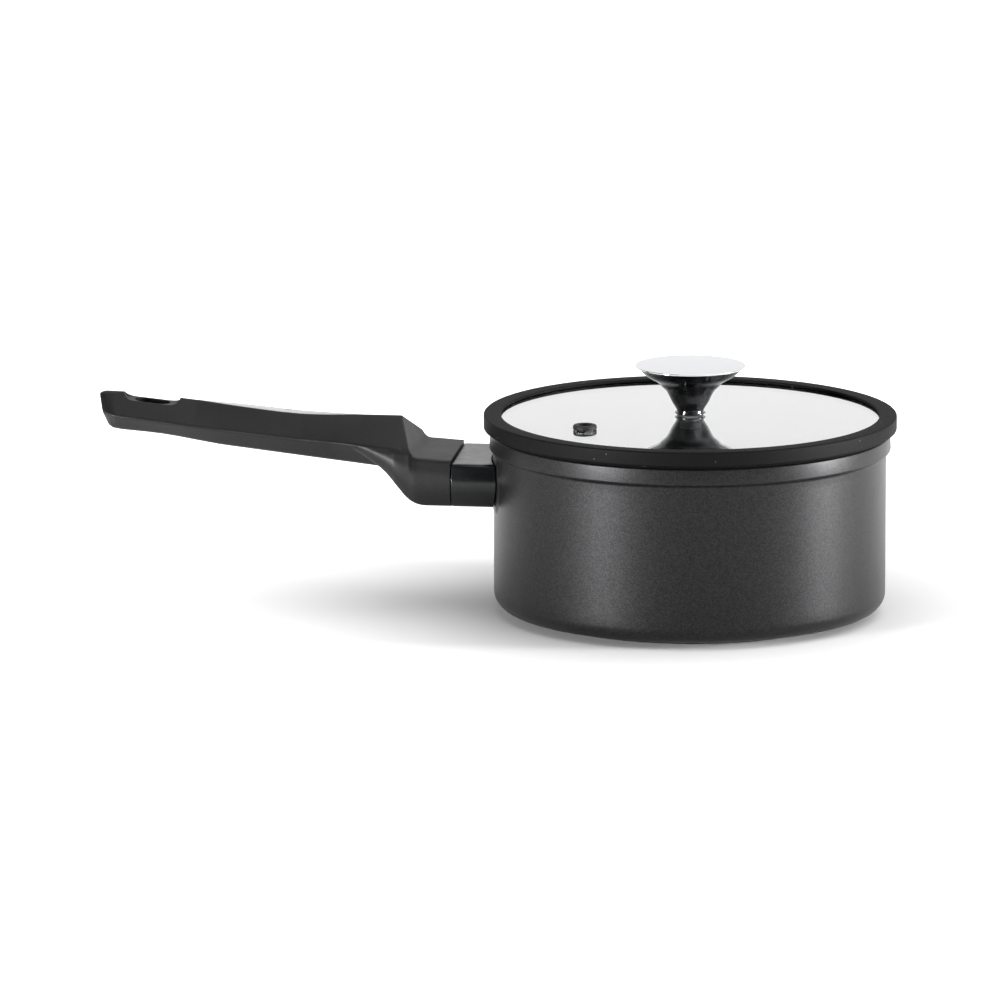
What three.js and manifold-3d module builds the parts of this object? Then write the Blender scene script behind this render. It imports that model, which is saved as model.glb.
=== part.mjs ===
// A small saucepan with a straight wall, one long moulded handle and a glass lid.
// Millimetres, +Z up. The origin is the centre of the base's underside, on the pan's own axis,
// and the handle runs out along -X. "Reach" is the distance from the pan's axis along the handle.
import * as THREE from "three";
import { mergeVertices } from "three/addons/utils/BufferGeometryUtils.js";
import Module from "manifold-3d";

const wasm = await Module();
wasm.setup();

// ---- clearances ----
const FIT = 0.3; // between a piece and the hole, socket or groove that holds it
const SEAT = 0.1; // between two flat faces that are clamped or rest on each other

// ---- pan ----
const CAVITY_RADIUS = 80;
const WALL = 3;
const PAN_HEIGHT = 77.3;
const BASE_THICKNESS = 5;
const CORNER_RADIUS = 13.2; // outside, between the wall and the base
const FOOT_SETBACK = 0.8; // of the foot ring, inside the start of that corner
const FOOT_HEIGHT = 2.2;
const FOOT_RING_WIDTH = 9;
const RIM_BAND_PROUD = 2.1; // how far the thick band at the mouth stands out of the wall
const RIM_BAND_HEIGHT = 6.7;
const RIM_BAND_SLOPE = 1.3; // height over which the band swells out of the wall
const RIM_BAND_TAPER = 0.6; // how much the band draws in again at the mouth
const DISC_THICKNESS = 1; // of the steel disc that lets the pan work on an induction hob
const WALL_RADIUS = CAVITY_RADIUS + WALL;
const BAND_RADIUS = WALL_RADIUS + RIM_BAND_PROUD;
const FOOT_RADIUS = WALL_RADIUS - CORNER_RADIUS - FOOT_SETBACK;
const DISC_RADIUS = FOOT_RADIUS - FOOT_RING_WIDTH;

// ---- handle root: cast pad and lug, guard ----
const ROOT_HALF_WIDTH = 24.6; // of the flat top
const ROOT_BULGE = 3; // how far the sides swell past the flat top
const ROOT_TUCK = 2.5; // how much narrower the underside is than the flat top
const GUARD_BELOW_MOUTH = 11.9; // from the pan's mouth down to the top of the guard
const GUARD_HEIGHT = 19;
const GUARD_LENGTH = 15.3;
const PAD_PROUD = 0.6;
const LUG_WIDTH = 24;
const LUG_HEIGHT = 12;
const LUG_IN_HANDLE = 5;
const GUARD_TOP = PAN_HEIGHT - GUARD_BELOW_MOUTH;
const GUARD_BOTTOM = GUARD_TOP - GUARD_HEIGHT;
const PAD_RADIUS = WALL_RADIUS + PAD_PROUD;
const SPLIT_REACH = PAD_RADIUS + FIT + GUARD_LENGTH; // where the guard ends and the handle starts
const LUG_REACH = SPLIT_REACH + LUG_IN_HANDLE;
const BOLT_HEIGHT = (GUARD_TOP + GUARD_BOTTOM) / 2;

// ---- handle ----
const STUB_LENGTH = 16; // flat-topped part next to the guard
const STUB_STEP = 1.4; // the stub stands this much above the guard
const STUB_RISE = 1;
const FACET_SLOPE = 1.785; // rise over run of the sloping front of the grip
const GRIP_LENGTH = 137.1; // from the foot of that front to the tip
const GRIP_RISE = 13.8; // from the end of the stub to the ridge
const GRIP_DEPTH = 25; // ridge to underside, drawn back to the start of the handle
const EAVE_DROP = 10.9; // ridge to the widest line of the grip
const EAVE_LIFT = 2.2; // how much nearer the ridge that line is on the long straight part
const GRIP_HALF_WIDTH = 16.2;
const GRIP_BELLY_HALF_WIDTH = 8.5;
const TIP_HALF_WIDTH = 14.2;
const GRIP_SLOPE = 0.103; // of the ridge, on the long straight part of the grip
const BELLY_SLOPE = 0.115;
const BELLY_HOLLOW = 1.4; // how much thinner the grip is under the hanging slot
const TIP_SLANT = 5; // the tip's top reaches this much further than its underside
const TIP_ROUND = 12; // length of the tip's rounded end
const SLOT_LENGTH = 15;
const SLOT_WIDTH = 10;
const SLOT_TO_TIP = 15; // from the far end of the hanging slot to the tip
const SCOOP_LENGTH = 24;
const SCOOP_WIDTH = 14.5;
const SCOOP_DEPTH = 3;
const STUB_TOP = GUARD_TOP + STUB_STEP;
const STUB_REACH = SPLIT_REACH + STUB_LENGTH;
const TIP_REACH = STUB_REACH + GRIP_LENGTH;
// Lengths along the grip, each from the foot of its sloping front unless it says from the tip.
const WIDE_LENGTH = 8; // full root width up to here
const NARROW_FROM = 36; // grip width from here
const CLIMB_FROM = 49; // ridge, eave and underside climb from here
const ROOT_END = 31; // underside of the wide root has run out into the eave
const TAPER_TO_TIP = 36; // from here to the tip the width draws in
const HOLLOW_TO_TIP = 52; // from here to the tip the grip is thinner
const FLARE_TO_TIP = 28; // and from here it grows thicker again
const LINE_PAST_TIP = 10; // how far the lines run on past the tip

// ---- handle inlay ----
const INLAY_LENGTH = 70;
const INLAY_WIDTH = 7;
const INLAY_THICKNESS = 1.2;
const INLAY_START = 25; // from the foot of the grip's front
const INLAY_SINK = 0.1; // its face below the flat that it lies in
const INLAY_BORDER = 0.6; // of the grip's flat, round the inlay

// ---- handle screw ----
const SCREW_RADIUS = 2.3;
const SCREW_HEAD_RADIUS = 4.6;
const SCREW_HEAD_HEIGHT = 3.2;
const SCREW_POCKET_RADIUS = 6;
const SCREW_SEAT_WALL = 5.2; // handle wall that the screw clamps
const WASHER_RADIUS = 5.4;
const WASHER_THICKNESS = 1;
const SPRING_WASHER_THICKNESS = 1.5;
const INSERT_RADIUS = 3.5;
const INSERT_LENGTH = 10;
const SCREW_KEY_RADIUS = 2.3; // six-sided socket in the head, to its corners
const SCREW_KEY_DEPTH = 2;

// ---- lid ----
const LID_OVERHANG = 2.3; // of the silicone rim past the band at the pan's mouth
const LID_FACE_HEIGHT = 5.8; // upright outer face of the silicone rim
const LID_CHAMFER_HEIGHT = 1.6;
const LID_CHAMFER_WIDTH = 2.5;
const LID_TOP_WIDTH = 7.4;
const LIP_THICKNESS = 1.1; // silicone over the glass
const GLASS_BITE = 3; // how far the glass reaches into the silicone
const GLASS_THICKNESS = 4;
const GLASS_CROWN = 0.8;
const PLUG_CLEARANCE = 0.5; // between the plug lip and the pan's inner wall
const PLUG_THICKNESS = 2;
const PLUG_DEPTH = 3.8;
const LIFT = 0.3; // the silicone's underside above the pan's mouth
const VENT_TO_EDGE = 28; // from the middle of the vent to the edge of the glass
const VENT_ANGLE = 222;
const VENT_HOLE_RADIUS = 2.8;
const VENT_NECK_RADIUS = 3.8;
const VENT_FLANGE_RADIUS = 5;
const VENT_HEIGHT = 1.9;
const LID_RADIUS = BAND_RADIUS + LID_OVERHANG;
const GLASS_RADIUS = LID_RADIUS - LID_TOP_WIDTH + GLASS_BITE;
const VENT_REACH = GLASS_RADIUS - VENT_TO_EDGE;
const LID_BOTTOM = PAN_HEIGHT + LIFT;
const LID_TOP = LID_BOTTOM + LID_CHAMFER_HEIGHT + LID_FACE_HEIGHT;
const GLASS_EDGE_TOP = LID_TOP - LIP_THICKNESS - FIT;
const GLASS_TOP = GLASS_EDGE_TOP + GLASS_CROWN;

// ---- knob ----
const KNOB_HEIGHT = 20.6;
const KNOB_RADIUS = 23.4;
const KNOB_FOOT_RADIUS = 5.7;
const KNOB_FLANGE_RADIUS = 6.5; // thin flange at the very foot
const KNOB_FLANGE_HEIGHT = 0.6;
const KNOB_WALL = 1.5;
const KNOB_CAP_EDGE = 1;
const KNOB_CAP_CROWN = 0.5;
const KNOB_CAP_OVERHANG = 1.3; // of the cap past the top of the stem
const KNOB_FLOOR = 5; // solid foot of the stem, under its hollow
const KNOB_BOSS_HEIGHT = 8;
const KNOB_BOSS_RADIUS = 5.4;
const KNOB_SCREW_RADIUS = 2.4;
const KNOB_SCREW_HEAD_RADIUS = 4.4;
const KNOB_SCREW_HEAD_HEIGHT = 2.8;
const UPPER_SEAL_THICKNESS = 0.5;
const LOWER_SEAL_THICKNESS = 0.8;
const KNOB_WASHER_THICKNESS = 1;
const KNOB_WASHER_RADIUS = 7;

// ---- fineness of round shapes ----
const WIDE_SIDES = 64;
const KNOB_SIDES = 32;
const SMALL_SIDES = 20;
const SMALL_ARC = 2.6; // arcs under this radius take coarse steps

// ---------------------------------------------------------------- helpers

// An outline through corner points [a, b, radius], each corner rounded by an arc of its radius.
// A small arc takes coarse steps and a large one fine steps.
function rounded(corners, closed = false) {
  const out = [];
  const count = corners.length;
  corners.forEach(([a, b, radius = 0], i) => {
    const ends = !closed && (i === 0 || i === count - 1);
    if (!radius || ends) {
      out.push([a, b]);
      return;
    }
    const here = new THREE.Vector2(a, b);
    const before = new THREE.Vector2(...corners[(i + count - 1) % count].slice(0, 2)).sub(here);
    const after = new THREE.Vector2(...corners[(i + 1) % count].slice(0, 2)).sub(here);
    const reach = Math.min(before.length(), after.length());
    before.normalize();
    after.normalize();
    const half = Math.acos(THREE.MathUtils.clamp(before.dot(after), -1, 1)) / 2;
    const cut = Math.min(radius / Math.tan(half), reach * 0.49);
    const used = cut * Math.tan(half);
    const middle = before.clone().add(after).normalize();
    const centre = here.clone().addScaledVector(middle, used / Math.sin(half));
    const first = here.clone().addScaledVector(before, cut).sub(centre);
    const last = here.clone().addScaledVector(after, cut).sub(centre);
    const turn = Math.atan2(first.cross(last), first.dot(last));
    const step = THREE.MathUtils.degToRad(used < SMALL_ARC ? 45 : 18);
    const steps = Math.max(1, Math.ceil(Math.abs(turn) / step));
    for (let k = 0; k <= steps; k++) {
      const point = first.clone().rotateAround(new THREE.Vector2(), (turn * k) / steps);
      out.push([centre.x + point.x, centre.y + point.y]);
    }
  });
  return out;
}

// The second value of an outline, where its first value is a.
function valueAt(outline, a) {
  const next = outline.findIndex((p) => p[0] > a);
  if (next === 0) return outline[0][1];
  if (next < 0) return outline[outline.length - 1][1];
  const [a0, b0] = outline[next - 1];
  const [a1, b1] = outline[next];
  return b0 + ((b1 - b0) * (a - a0)) / (a1 - a0);
}

// A geometry as a solid that can be joined and cut.
function solidOf(geometry) {
  const bare = geometry.clone();
  bare.deleteAttribute("normal");
  bare.deleteAttribute("uv");
  const merged = mergeVertices(bare, 1e-4);
  return new wasm.Manifold(
    new wasm.Mesh({
      numProp: 3,
      vertProperties: new Float32Array(merged.attributes.position.array),
      triVerts: new Uint32Array(merged.index.array),
    }),
  );
}

function geometryOf(solid) {
  const { vertProperties, triVerts } = solid.getMesh();
  const geometry = new THREE.BufferGeometry();
  geometry.setAttribute("position", new THREE.BufferAttribute(vertProperties, 3));
  geometry.setIndex(new THREE.BufferAttribute(triVerts, 1));
  return geometry;
}

// A closed outline of [radius, height] points, turned about the Z axis. The outline runs
// counter-clockwise in the plane where radius points right and height points up.
function turned(outline, sides) {
  const points = [...outline, outline[0]].map(([r, z]) => new THREE.Vector2(r, z));
  const geometry = new THREE.LatheGeometry(points, sides);
  geometry.rotateX(Math.PI / 2);
  return solidOf(geometry);
}

// A rod about the X axis, between two reaches, at the screw's height.
function rodAlongHandle(radius, fromReach, toReach, sides = SMALL_SIDES) {
  const geometry = new THREE.CylinderGeometry(radius, radius, toReach - fromReach, sides);
  geometry.rotateZ(Math.PI / 2);
  geometry.translate(-(fromReach + toReach) / 2, 0, BOLT_HEIGHT);
  return solidOf(geometry);
}

// A rod about the Z axis.
function uprightRod(radius, fromZ, toZ, sides = SMALL_SIDES) {
  const geometry = new THREE.CylinderGeometry(radius, radius, toZ - fromZ, sides);
  geometry.rotateX(Math.PI / 2);
  geometry.translate(0, 0, (fromZ + toZ) / 2);
  return solidOf(geometry);
}

// An upright prism over a stadium outline, centred at a reach, long side along the handle.
function stadium(length, width, reach, fromZ, toZ) {
  const straight = length / 2 - width / 2;
  const shape = new THREE.Shape();
  shape.absarc(straight, 0, width / 2, -Math.PI / 2, Math.PI / 2);
  shape.absarc(-straight, 0, width / 2, Math.PI / 2, (3 * Math.PI) / 2);
  const geometry = new THREE.ExtrudeGeometry(shape, {
    depth: toZ - fromZ,
    bevelEnabled: false,
    curveSegments: 10,
  });
  geometry.translate(-reach, 0, fromZ);
  return geometry;
}

// A prism along the handle over an outline of [y, z] points, between two reaches.
function prismAlongHandle(outline, fromReach, toReach) {
  const shape = new THREE.Shape(outline.map(([y, z]) => new THREE.Vector2(y, z)));
  const geometry = new THREE.ExtrudeGeometry(shape, {
    depth: toReach - fromReach,
    bevelEnabled: false,
  });
  // The outline's first axis becomes Y, its second becomes Z and the depth becomes +X.
  geometry.applyMatrix4(
    new THREE.Matrix4().makeBasis(
      new THREE.Vector3(0, 1, 0),
      new THREE.Vector3(0, 0, 1),
      new THREE.Vector3(1, 0, 0),
    ),
  );
  geometry.translate(-toReach, 0, 0);
  return solidOf(geometry);
}

const group = new THREE.Group();

function piece(name, solid, color, roughness, metalness) {
  const material = new THREE.MeshStandardMaterial({ color, roughness, metalness });
  const mesh = new THREE.Mesh(geometryOf(solid), material);
  mesh.name = name;
  group.add(mesh);
  return mesh;
}

// ---------------------------------------------------------------- pan

// The swollen outline that the guard and the pan's pad share, [y, z], grown on every side.
function rootOutline(grow = 0) {
  const top = GUARD_TOP + grow;
  const bottom = GUARD_BOTTOM - grow;
  const widest = GUARD_BOTTOM + GUARD_HEIGHT * 0.52;
  const right = [
    [ROOT_HALF_WIDTH - ROOT_TUCK + grow, bottom, 5],
    [ROOT_HALF_WIDTH + ROOT_BULGE + grow, widest, 14],
    [ROOT_HALF_WIDTH + grow, top, 1.5],
  ];
  const left = right.map(([y, z, r]) => [-y, z, r]).reverse();
  return rounded([...right, ...left], true);
}

function panBody() {
  const outline = rounded(
    [
      [0, DISC_THICKNESS + FIT],
      [DISC_RADIUS + FIT, DISC_THICKNESS + FIT],
      [DISC_RADIUS + FIT, 0],
      [FOOT_RADIUS, 0, 0.5],
      [FOOT_RADIUS, FOOT_HEIGHT],
      [WALL_RADIUS, FOOT_HEIGHT, CORNER_RADIUS],
      [WALL_RADIUS, PAN_HEIGHT - RIM_BAND_HEIGHT - RIM_BAND_SLOPE],
      [BAND_RADIUS, PAN_HEIGHT - RIM_BAND_HEIGHT],
      [BAND_RADIUS - RIM_BAND_TAPER, PAN_HEIGHT, 0.5],
      [CAVITY_RADIUS, PAN_HEIGHT, 0.6],
      [CAVITY_RADIUS, BASE_THICKNESS, CORNER_RADIUS - WALL],
      [0, BASE_THICKNESS],
    ],
    true,
  );
  let body = turned(outline, WIDE_SIDES);
  // The pad for the guard rises out of the wall in two low steps, and the lug stands on it.
  [
    [1.6, PAD_PROUD / 2],
    [0.8, PAD_PROUD],
  ].forEach(([grow, proud]) => {
    const block = prismAlongHandle(rootOutline(grow), CAVITY_RADIUS + 1, PAD_RADIUS + 5);
    const limit = uprightRod(WALL_RADIUS + proud, 0, PAN_HEIGHT, WIDE_SIDES);
    const core = uprightRod(CAVITY_RADIUS + WALL / 2, 0, PAN_HEIGHT, WIDE_SIDES);
    body = body.add(block.intersect(limit).subtract(core));
  });
  const lug = prismAlongHandle(lugOutline(0), CAVITY_RADIUS + WALL / 2, LUG_REACH);
  const insertHole = rodAlongHandle(INSERT_RADIUS, LUG_REACH - INSERT_LENGTH - SEAT, LUG_REACH + 1);
  const tipHole = rodAlongHandle(SCREW_RADIUS + FIT, LUG_REACH - INSERT_LENGTH - 4, LUG_REACH);
  return body.add(lug).subtract(insertHole).subtract(tipHole);
}

function lugOutline(grow) {
  const y = LUG_WIDTH / 2 + grow;
  const low = BOLT_HEIGHT - LUG_HEIGHT / 2 - grow;
  const high = BOLT_HEIGHT + LUG_HEIGHT / 2 + grow;
  return rounded(
    [
      [-y, low, 2],
      [y, low, 2],
      [y, high, 2],
      [-y, high, 2],
    ],
    true,
  );
}

function inductionDisc() {
  return uprightRod(DISC_RADIUS, 0, DISC_THICKNESS, WIDE_SIDES);
}

function screwInsert() {
  const from = LUG_REACH - INSERT_LENGTH;
  const sleeve = rodAlongHandle(INSERT_RADIUS - FIT, from, LUG_REACH - SEAT);
  return sleeve.subtract(rodAlongHandle(SCREW_RADIUS + SEAT, from - 1, LUG_REACH + 1));
}

function flameGuard() {
  const block = prismAlongHandle(rootOutline(0), CAVITY_RADIUS, SPLIT_REACH - FIT);
  const pan = uprightRod(PAD_RADIUS + FIT, 0, PAN_HEIGHT, WIDE_SIDES);
  const passage = prismAlongHandle(lugOutline(FIT), CAVITY_RADIUS - 5, SPLIT_REACH + 5);
  return block.subtract(pan).subtract(passage);
}

// ---------------------------------------------------------------- handle

// Each line gives one height or half-width of the handle against reach.
const RIDGE = STUB_TOP + STUB_RISE + GRIP_RISE;
const EAVE = RIDGE - EAVE_DROP;
const CLIMB_START = STUB_REACH + CLIMB_FROM;
const LINE_END = TIP_REACH + LINE_PAST_TIP;
const CLIMB = (LINE_END - CLIMB_START) * GRIP_SLOPE;
const ridgeLine = rounded([
  [SPLIT_REACH, RIDGE],
  [CLIMB_START, RIDGE, 180],
  [LINE_END, RIDGE + CLIMB],
]);
const eaveLine = rounded([
  [SPLIT_REACH, EAVE - 1],
  [CLIMB_START, EAVE + EAVE_LIFT, 180],
  [LINE_END, EAVE + EAVE_LIFT + CLIMB],
]);
const halfWidthLine = rounded([
  [SPLIT_REACH, ROOT_HALF_WIDTH],
  [STUB_REACH + WIDE_LENGTH, ROOT_HALF_WIDTH, 60],
  [STUB_REACH + NARROW_FROM, GRIP_HALF_WIDTH, 90],
  [TIP_REACH - TAPER_TO_TIP, GRIP_HALF_WIDTH, 90],
  [TIP_REACH - 6, TIP_HALF_WIDTH, 8],
  [TIP_REACH + 2, TIP_HALF_WIDTH - 4],
]);
// Flat top of the stub, then the sloping front of the grip.
const frontLine = rounded([
  [SPLIT_REACH, STUB_TOP],
  [STUB_REACH, STUB_TOP + STUB_RISE, 4],
  [STUB_REACH + 12, STUB_TOP + STUB_RISE + 12 * FACET_SLOPE],
]);
// Underside of the wide root: flat, then a curve up to the eave, which it meets at its end.
const rootBellyLine = rounded([
  [SPLIT_REACH, GUARD_BOTTOM],
  [STUB_REACH + 0.6, GUARD_BOTTOM, 12],
  [STUB_REACH + 13, GUARD_BOTTOM + 15, 30],
  [STUB_REACH + ROOT_END, EAVE + 1.5],
  [STUB_REACH + ROOT_END + 12, EAVE + 11.3],
]);
// Underside of the narrow grip: straight, thinner under the slot, then a slight flare at the tip.
const BELLY_START = RIDGE - GRIP_DEPTH;
const bellyAt = (reach) => BELLY_START + (reach - SPLIT_REACH) * BELLY_SLOPE;
const bellyLine = rounded([
  [SPLIT_REACH, BELLY_START],
  [TIP_REACH - HOLLOW_TO_TIP, bellyAt(TIP_REACH - HOLLOW_TO_TIP), 150],
  [TIP_REACH - FLARE_TO_TIP, bellyAt(TIP_REACH - FLARE_TO_TIP) + BELLY_HOLLOW, 150],
  [LINE_END, bellyAt(LINE_END)],
]);

// The smaller of two lengths, with the corner between them softened over the given width.
function softMin(a, b, width) {
  const blend = Math.max(width - Math.abs(a - b), 0) / width;
  return Math.min(a, b) - (blend * blend * width) / 4;
}

// Half-width of the flat on the ridge that holds the inlay: a lens, nothing beyond its ends.
function inlayHalfWidth(reach) {
  const half = INLAY_LENGTH / 2 + INLAY_BORDER;
  const along = (reach - STUB_REACH - INLAY_START - INLAY_LENGTH / 2) / half;
  return Math.max(1 - along * along, 0) * (INLAY_WIDTH / 2 + INLAY_BORDER);
}

// Distance from [0, centre] along the direction [sin, cos] to the line through two [y, z] points
// of the right half of a section. A ray that runs away from the line gets a long distance.
function rayTo(first, second, centre, sin, cos) {
  const along = [second[0] - first[0], second[1] - first[1]];
  let normal = [along[1], -along[0]];
  let offset = normal[0] * first[0] + normal[1] * (first[1] - centre);
  if (offset < 0) {
    normal = [-normal[0], -normal[1]];
    offset = -offset;
  }
  const facing = normal[0] * sin + normal[1] * cos;
  return facing > 1e-6 ? Math.min(offset / facing, 200) : 200;
}

// One section of the handle at a reach: a ring of [y, z] points about a centre on its mid-plane.
// The outline is the soft union of the wide root and the narrow grip, under a roof and the front.
function handleSection(reach, sides) {
  const ridge = valueAt(ridgeLine, reach);
  const eave = valueAt(eaveLine, reach);
  const front = valueAt(frontLine, reach);
  const width = valueAt(halfWidthLine, reach);
  const rootBelly = valueAt(rootBellyLine, reach);
  const belly = valueAt(bellyLine, reach);
  const past = reach - STUB_REACH;
  const lift = THREE.MathUtils.smoothstep(past, -7, ROOT_END - 3);
  const centre = THREE.MathUtils.lerp(STUB_TOP - 9, eave - 1, lift);
  const fade = 1 - THREE.MathUtils.smoothstep(past, 5, ROOT_END);
  const flatHalf = inlayHalfWidth(reach);
  const bulge = ROOT_BULGE * fade + 0.3;
  const shoulder = Math.min(eave, front);
  const waist = (shoulder + rootBelly) / 2;
  const ring = [];
  for (let i = 0; i < sides; i++) {
    const angle = (2 * Math.PI * (i + 0.5)) / sides;
    const sin = Math.abs(Math.sin(angle));
    const cos = Math.cos(angle);
    const roof = rayTo([width, eave], [flatHalf, ridge], centre, sin, cos);
    const flat = cos > 1e-6 ? Math.max(Math.min(front, ridge) - centre, 0) / cos : 200;
    const upper = rayTo([width, shoulder], [width + bulge, waist], centre, sin, cos);
    const lower = rayTo([width + bulge, waist], [width - ROOT_TUCK, rootBelly], centre, sin, cos);
    const rootFloor = cos < -1e-6 ? Math.max(centre - rootBelly, 0.01) / -cos : 200;
    const root = softMin(softMin(upper, lower, 6), Math.min(rootFloor, 200), 4);
    const flank = rayTo([width, eave], [GRIP_BELLY_HALF_WIDTH, belly], centre, sin, cos);
    const floor = cos < -1e-6 ? Math.min((centre - belly) / -cos, 200) : 200;
    const grip = softMin(flank, floor, 3);
    const side = past > ROOT_END ? grip : Math.max(root, past > 5 ? grip : 0);
    const length = softMin(softMin(roof, flat, 0.8), side, 0.8);
    ring.push([Math.sign(Math.sin(angle)) * sin * length, centre + cos * length]);
  }
  return ring;
}

// A closed skin over rings of equal length, which may lean: ring points are [x, y, z].
function skinOver(rings) {
  const sides = rings[0].length;
  const positions = rings.flat(2);
  const faces = [];
  for (let k = 0; k + 1 < rings.length; k++) {
    for (let i = 0; i < sides; i++) {
      const j = (i + 1) % sides;
      const a = k * sides + i;
      const b = k * sides + j;
      faces.push(a, b, b + sides, a, b + sides, a + sides);
    }
  }
  [0, rings.length - 1].forEach((k) => {
    const middle = [0, 1, 2].map((axis) => rings[k].reduce((sum, p) => sum + p[axis], 0) / sides);
    const hub = positions.length / 3;
    positions.push(...middle);
    for (let i = 0; i < sides; i++) {
      const a = k * sides + i;
      const b = k * sides + ((i + 1) % sides);
      faces.push(...(k === 0 ? [hub, b, a] : [hub, a, b]));
    }
  });
  const geometry = new THREE.BufferGeometry();
  geometry.setAttribute("position", new THREE.BufferAttribute(new Float32Array(positions), 3));
  geometry.setIndex(faces);
  return solidOf(geometry);
}

// Reaches of the sections: close together at the front, the bend and the tip.
function handleStations() {
  const stations = [SPLIT_REACH, SPLIT_REACH + STUB_LENGTH / 2];
  for (let past = -2; past < 9; past += 1) stations.push(STUB_REACH + past);
  for (let past = 9; past < ROOT_END + 3; past += 2) stations.push(STUB_REACH + past);
  const straightFrom = STUB_REACH + ROOT_END + 4;
  const straight = TIP_REACH - TIP_ROUND - straightFrom;
  for (let k = 0; k < 12; k++) stations.push(straightFrom + (straight * k) / 12);
  for (let k = 0; k <= 6; k++) stations.push(TIP_REACH - TIP_ROUND + (TIP_ROUND * k) / 6);
  return stations;
}

// A flat lens between two equal arcs, long side along the handle, where the inlay lies.
function lensPrism(grow, fromZ, toZ) {
  const half = INLAY_LENGTH / 2 + grow;
  const rise = INLAY_WIDTH / 2 + grow;
  const radius = (half * half + rise * rise) / (2 * rise);
  const spread = Math.asin(half / radius);
  const shape = new THREE.Shape();
  shape.absarc(0, rise - radius, radius, Math.PI / 2 - spread, Math.PI / 2 + spread);
  shape.absarc(0, radius - rise, radius, -Math.PI / 2 - spread, -Math.PI / 2 + spread);
  const geometry = new THREE.ExtrudeGeometry(shape, {
    depth: toZ - fromZ,
    bevelEnabled: false,
    curveSegments: 14,
  });
  geometry.translate(-(STUB_REACH + INLAY_START + INLAY_LENGTH / 2), 0, fromZ);
  return geometry;
}

// Bends a flat piece so that it follows the ridge: each point rises with the ridge above its reach.
function followRidge(geometry) {
  const position = geometry.attributes.position;
  for (let i = 0; i < position.count; i++) {
    position.setZ(i, position.getZ(i) + valueAt(ridgeLine, -position.getX(i)));
  }
  return geometry;
}

function handleGrip() {
  const rings = handleStations().map((reach) => {
    const lean = TIP_SLANT * THREE.MathUtils.smoothstep(reach, TIP_REACH - TIP_ROUND, TIP_REACH);
    const end = Math.max(0, reach - (TIP_REACH - 3)) / 3;
    const shrink = 1 - 0.12 * end * end;
    const ring = handleSection(reach, 44);
    const heights = ring.map((p) => p[1]);
    const top = Math.max(...heights);
    const bottom = Math.min(...heights);
    const middle = (top + bottom) / 2;
    return ring.map(([y, z]) => [
      -reach + (lean * (top - z)) / (top - bottom),
      y * shrink,
      middle + (z - middle) * shrink,
    ]);
  });
  const seatReach = LUG_REACH + FIT + SCREW_SEAT_WALL;
  const slotMiddle = TIP_REACH - SLOT_TO_TIP - SLOT_LENGTH / 2;
  const slotRidge = valueAt(ridgeLine, slotMiddle);
  const high = slotRidge + 20;
  const low = slotRidge - 40;
  const scoop = solidOf(
    followRidge(stadium(SCOOP_LENGTH, SCOOP_WIDTH, slotMiddle, -SCOOP_DEPTH, 20)),
  );
  const inlayFloor = -INLAY_SINK - INLAY_THICKNESS - FIT;
  return skinOver(rings)
    .subtract(prismAlongHandle(lugOutline(FIT), SPLIT_REACH - 1, LUG_REACH + FIT))
    .subtract(rodAlongHandle(SCREW_RADIUS + FIT + 0.1, SPLIT_REACH, seatReach + 1))
    .subtract(rodAlongHandle(SCREW_POCKET_RADIUS, seatReach, seatReach + 22))
    .subtract(solidOf(stadium(SLOT_LENGTH, SLOT_WIDTH, slotMiddle, low, high)))
    .subtract(scoop)
    .subtract(solidOf(followRidge(lensPrism(FIT, inlayFloor, 6))));
}

function handleInlay() {
  return solidOf(followRidge(lensPrism(0, -INLAY_SINK - INLAY_THICKNESS, -INLAY_SINK)));
}

// The stack under the handle screw's head: where each piece starts, as a reach.
const WASHER_REACH = LUG_REACH + FIT + SCREW_SEAT_WALL + SEAT;
const SPRING_REACH = WASHER_REACH + WASHER_THICKNESS + SEAT;
const HEAD_REACH = SPRING_REACH + SPRING_WASHER_THICKNESS + SEAT;

function handleWasher() {
  const disc = rodAlongHandle(WASHER_RADIUS, WASHER_REACH, WASHER_REACH + WASHER_THICKNESS);
  return disc.subtract(rodAlongHandle(SCREW_RADIUS + FIT, WASHER_REACH - 1, WASHER_REACH + 3));
}

// A split ring: a plain ring with a narrow slanted cut through one side.
function springWasher() {
  const to = SPRING_REACH + SPRING_WASHER_THICKNESS;
  const ring = rodAlongHandle(SCREW_HEAD_RADIUS, SPRING_REACH, to);
  const hole = rodAlongHandle(SCREW_RADIUS + FIT, SPRING_REACH - 1, to + 1);
  const cut = new THREE.BoxGeometry(8, 0.7, SCREW_HEAD_RADIUS + 1);
  cut.rotateZ(THREE.MathUtils.degToRad(25));
  cut.translate(-(SPRING_REACH + to) / 2, 0, BOLT_HEIGHT + (SCREW_HEAD_RADIUS + 1) / 2);
  return ring.subtract(hole).subtract(solidOf(cut));
}

function handleScrew() {
  const head = rodAlongHandle(SCREW_HEAD_RADIUS, HEAD_REACH, HEAD_REACH + SCREW_HEAD_HEIGHT);
  const shank = rodAlongHandle(SCREW_RADIUS, LUG_REACH - INSERT_LENGTH - 2, HEAD_REACH + 1);
  const keyFrom = HEAD_REACH + SCREW_HEAD_HEIGHT - SCREW_KEY_DEPTH;
  const key = rodAlongHandle(SCREW_KEY_RADIUS, keyFrom, HEAD_REACH + SCREW_HEAD_HEIGHT + 1, 6);
  return head.add(shank).subtract(key);
}

// ---------------------------------------------------------------- lid

function glassHeight(radius) {
  const inside = Math.min(radius / (GLASS_RADIUS - LID_TOP_WIDTH / 2), 1);
  return GLASS_EDGE_TOP + GLASS_CROWN * (1 - inside * inside);
}

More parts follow.
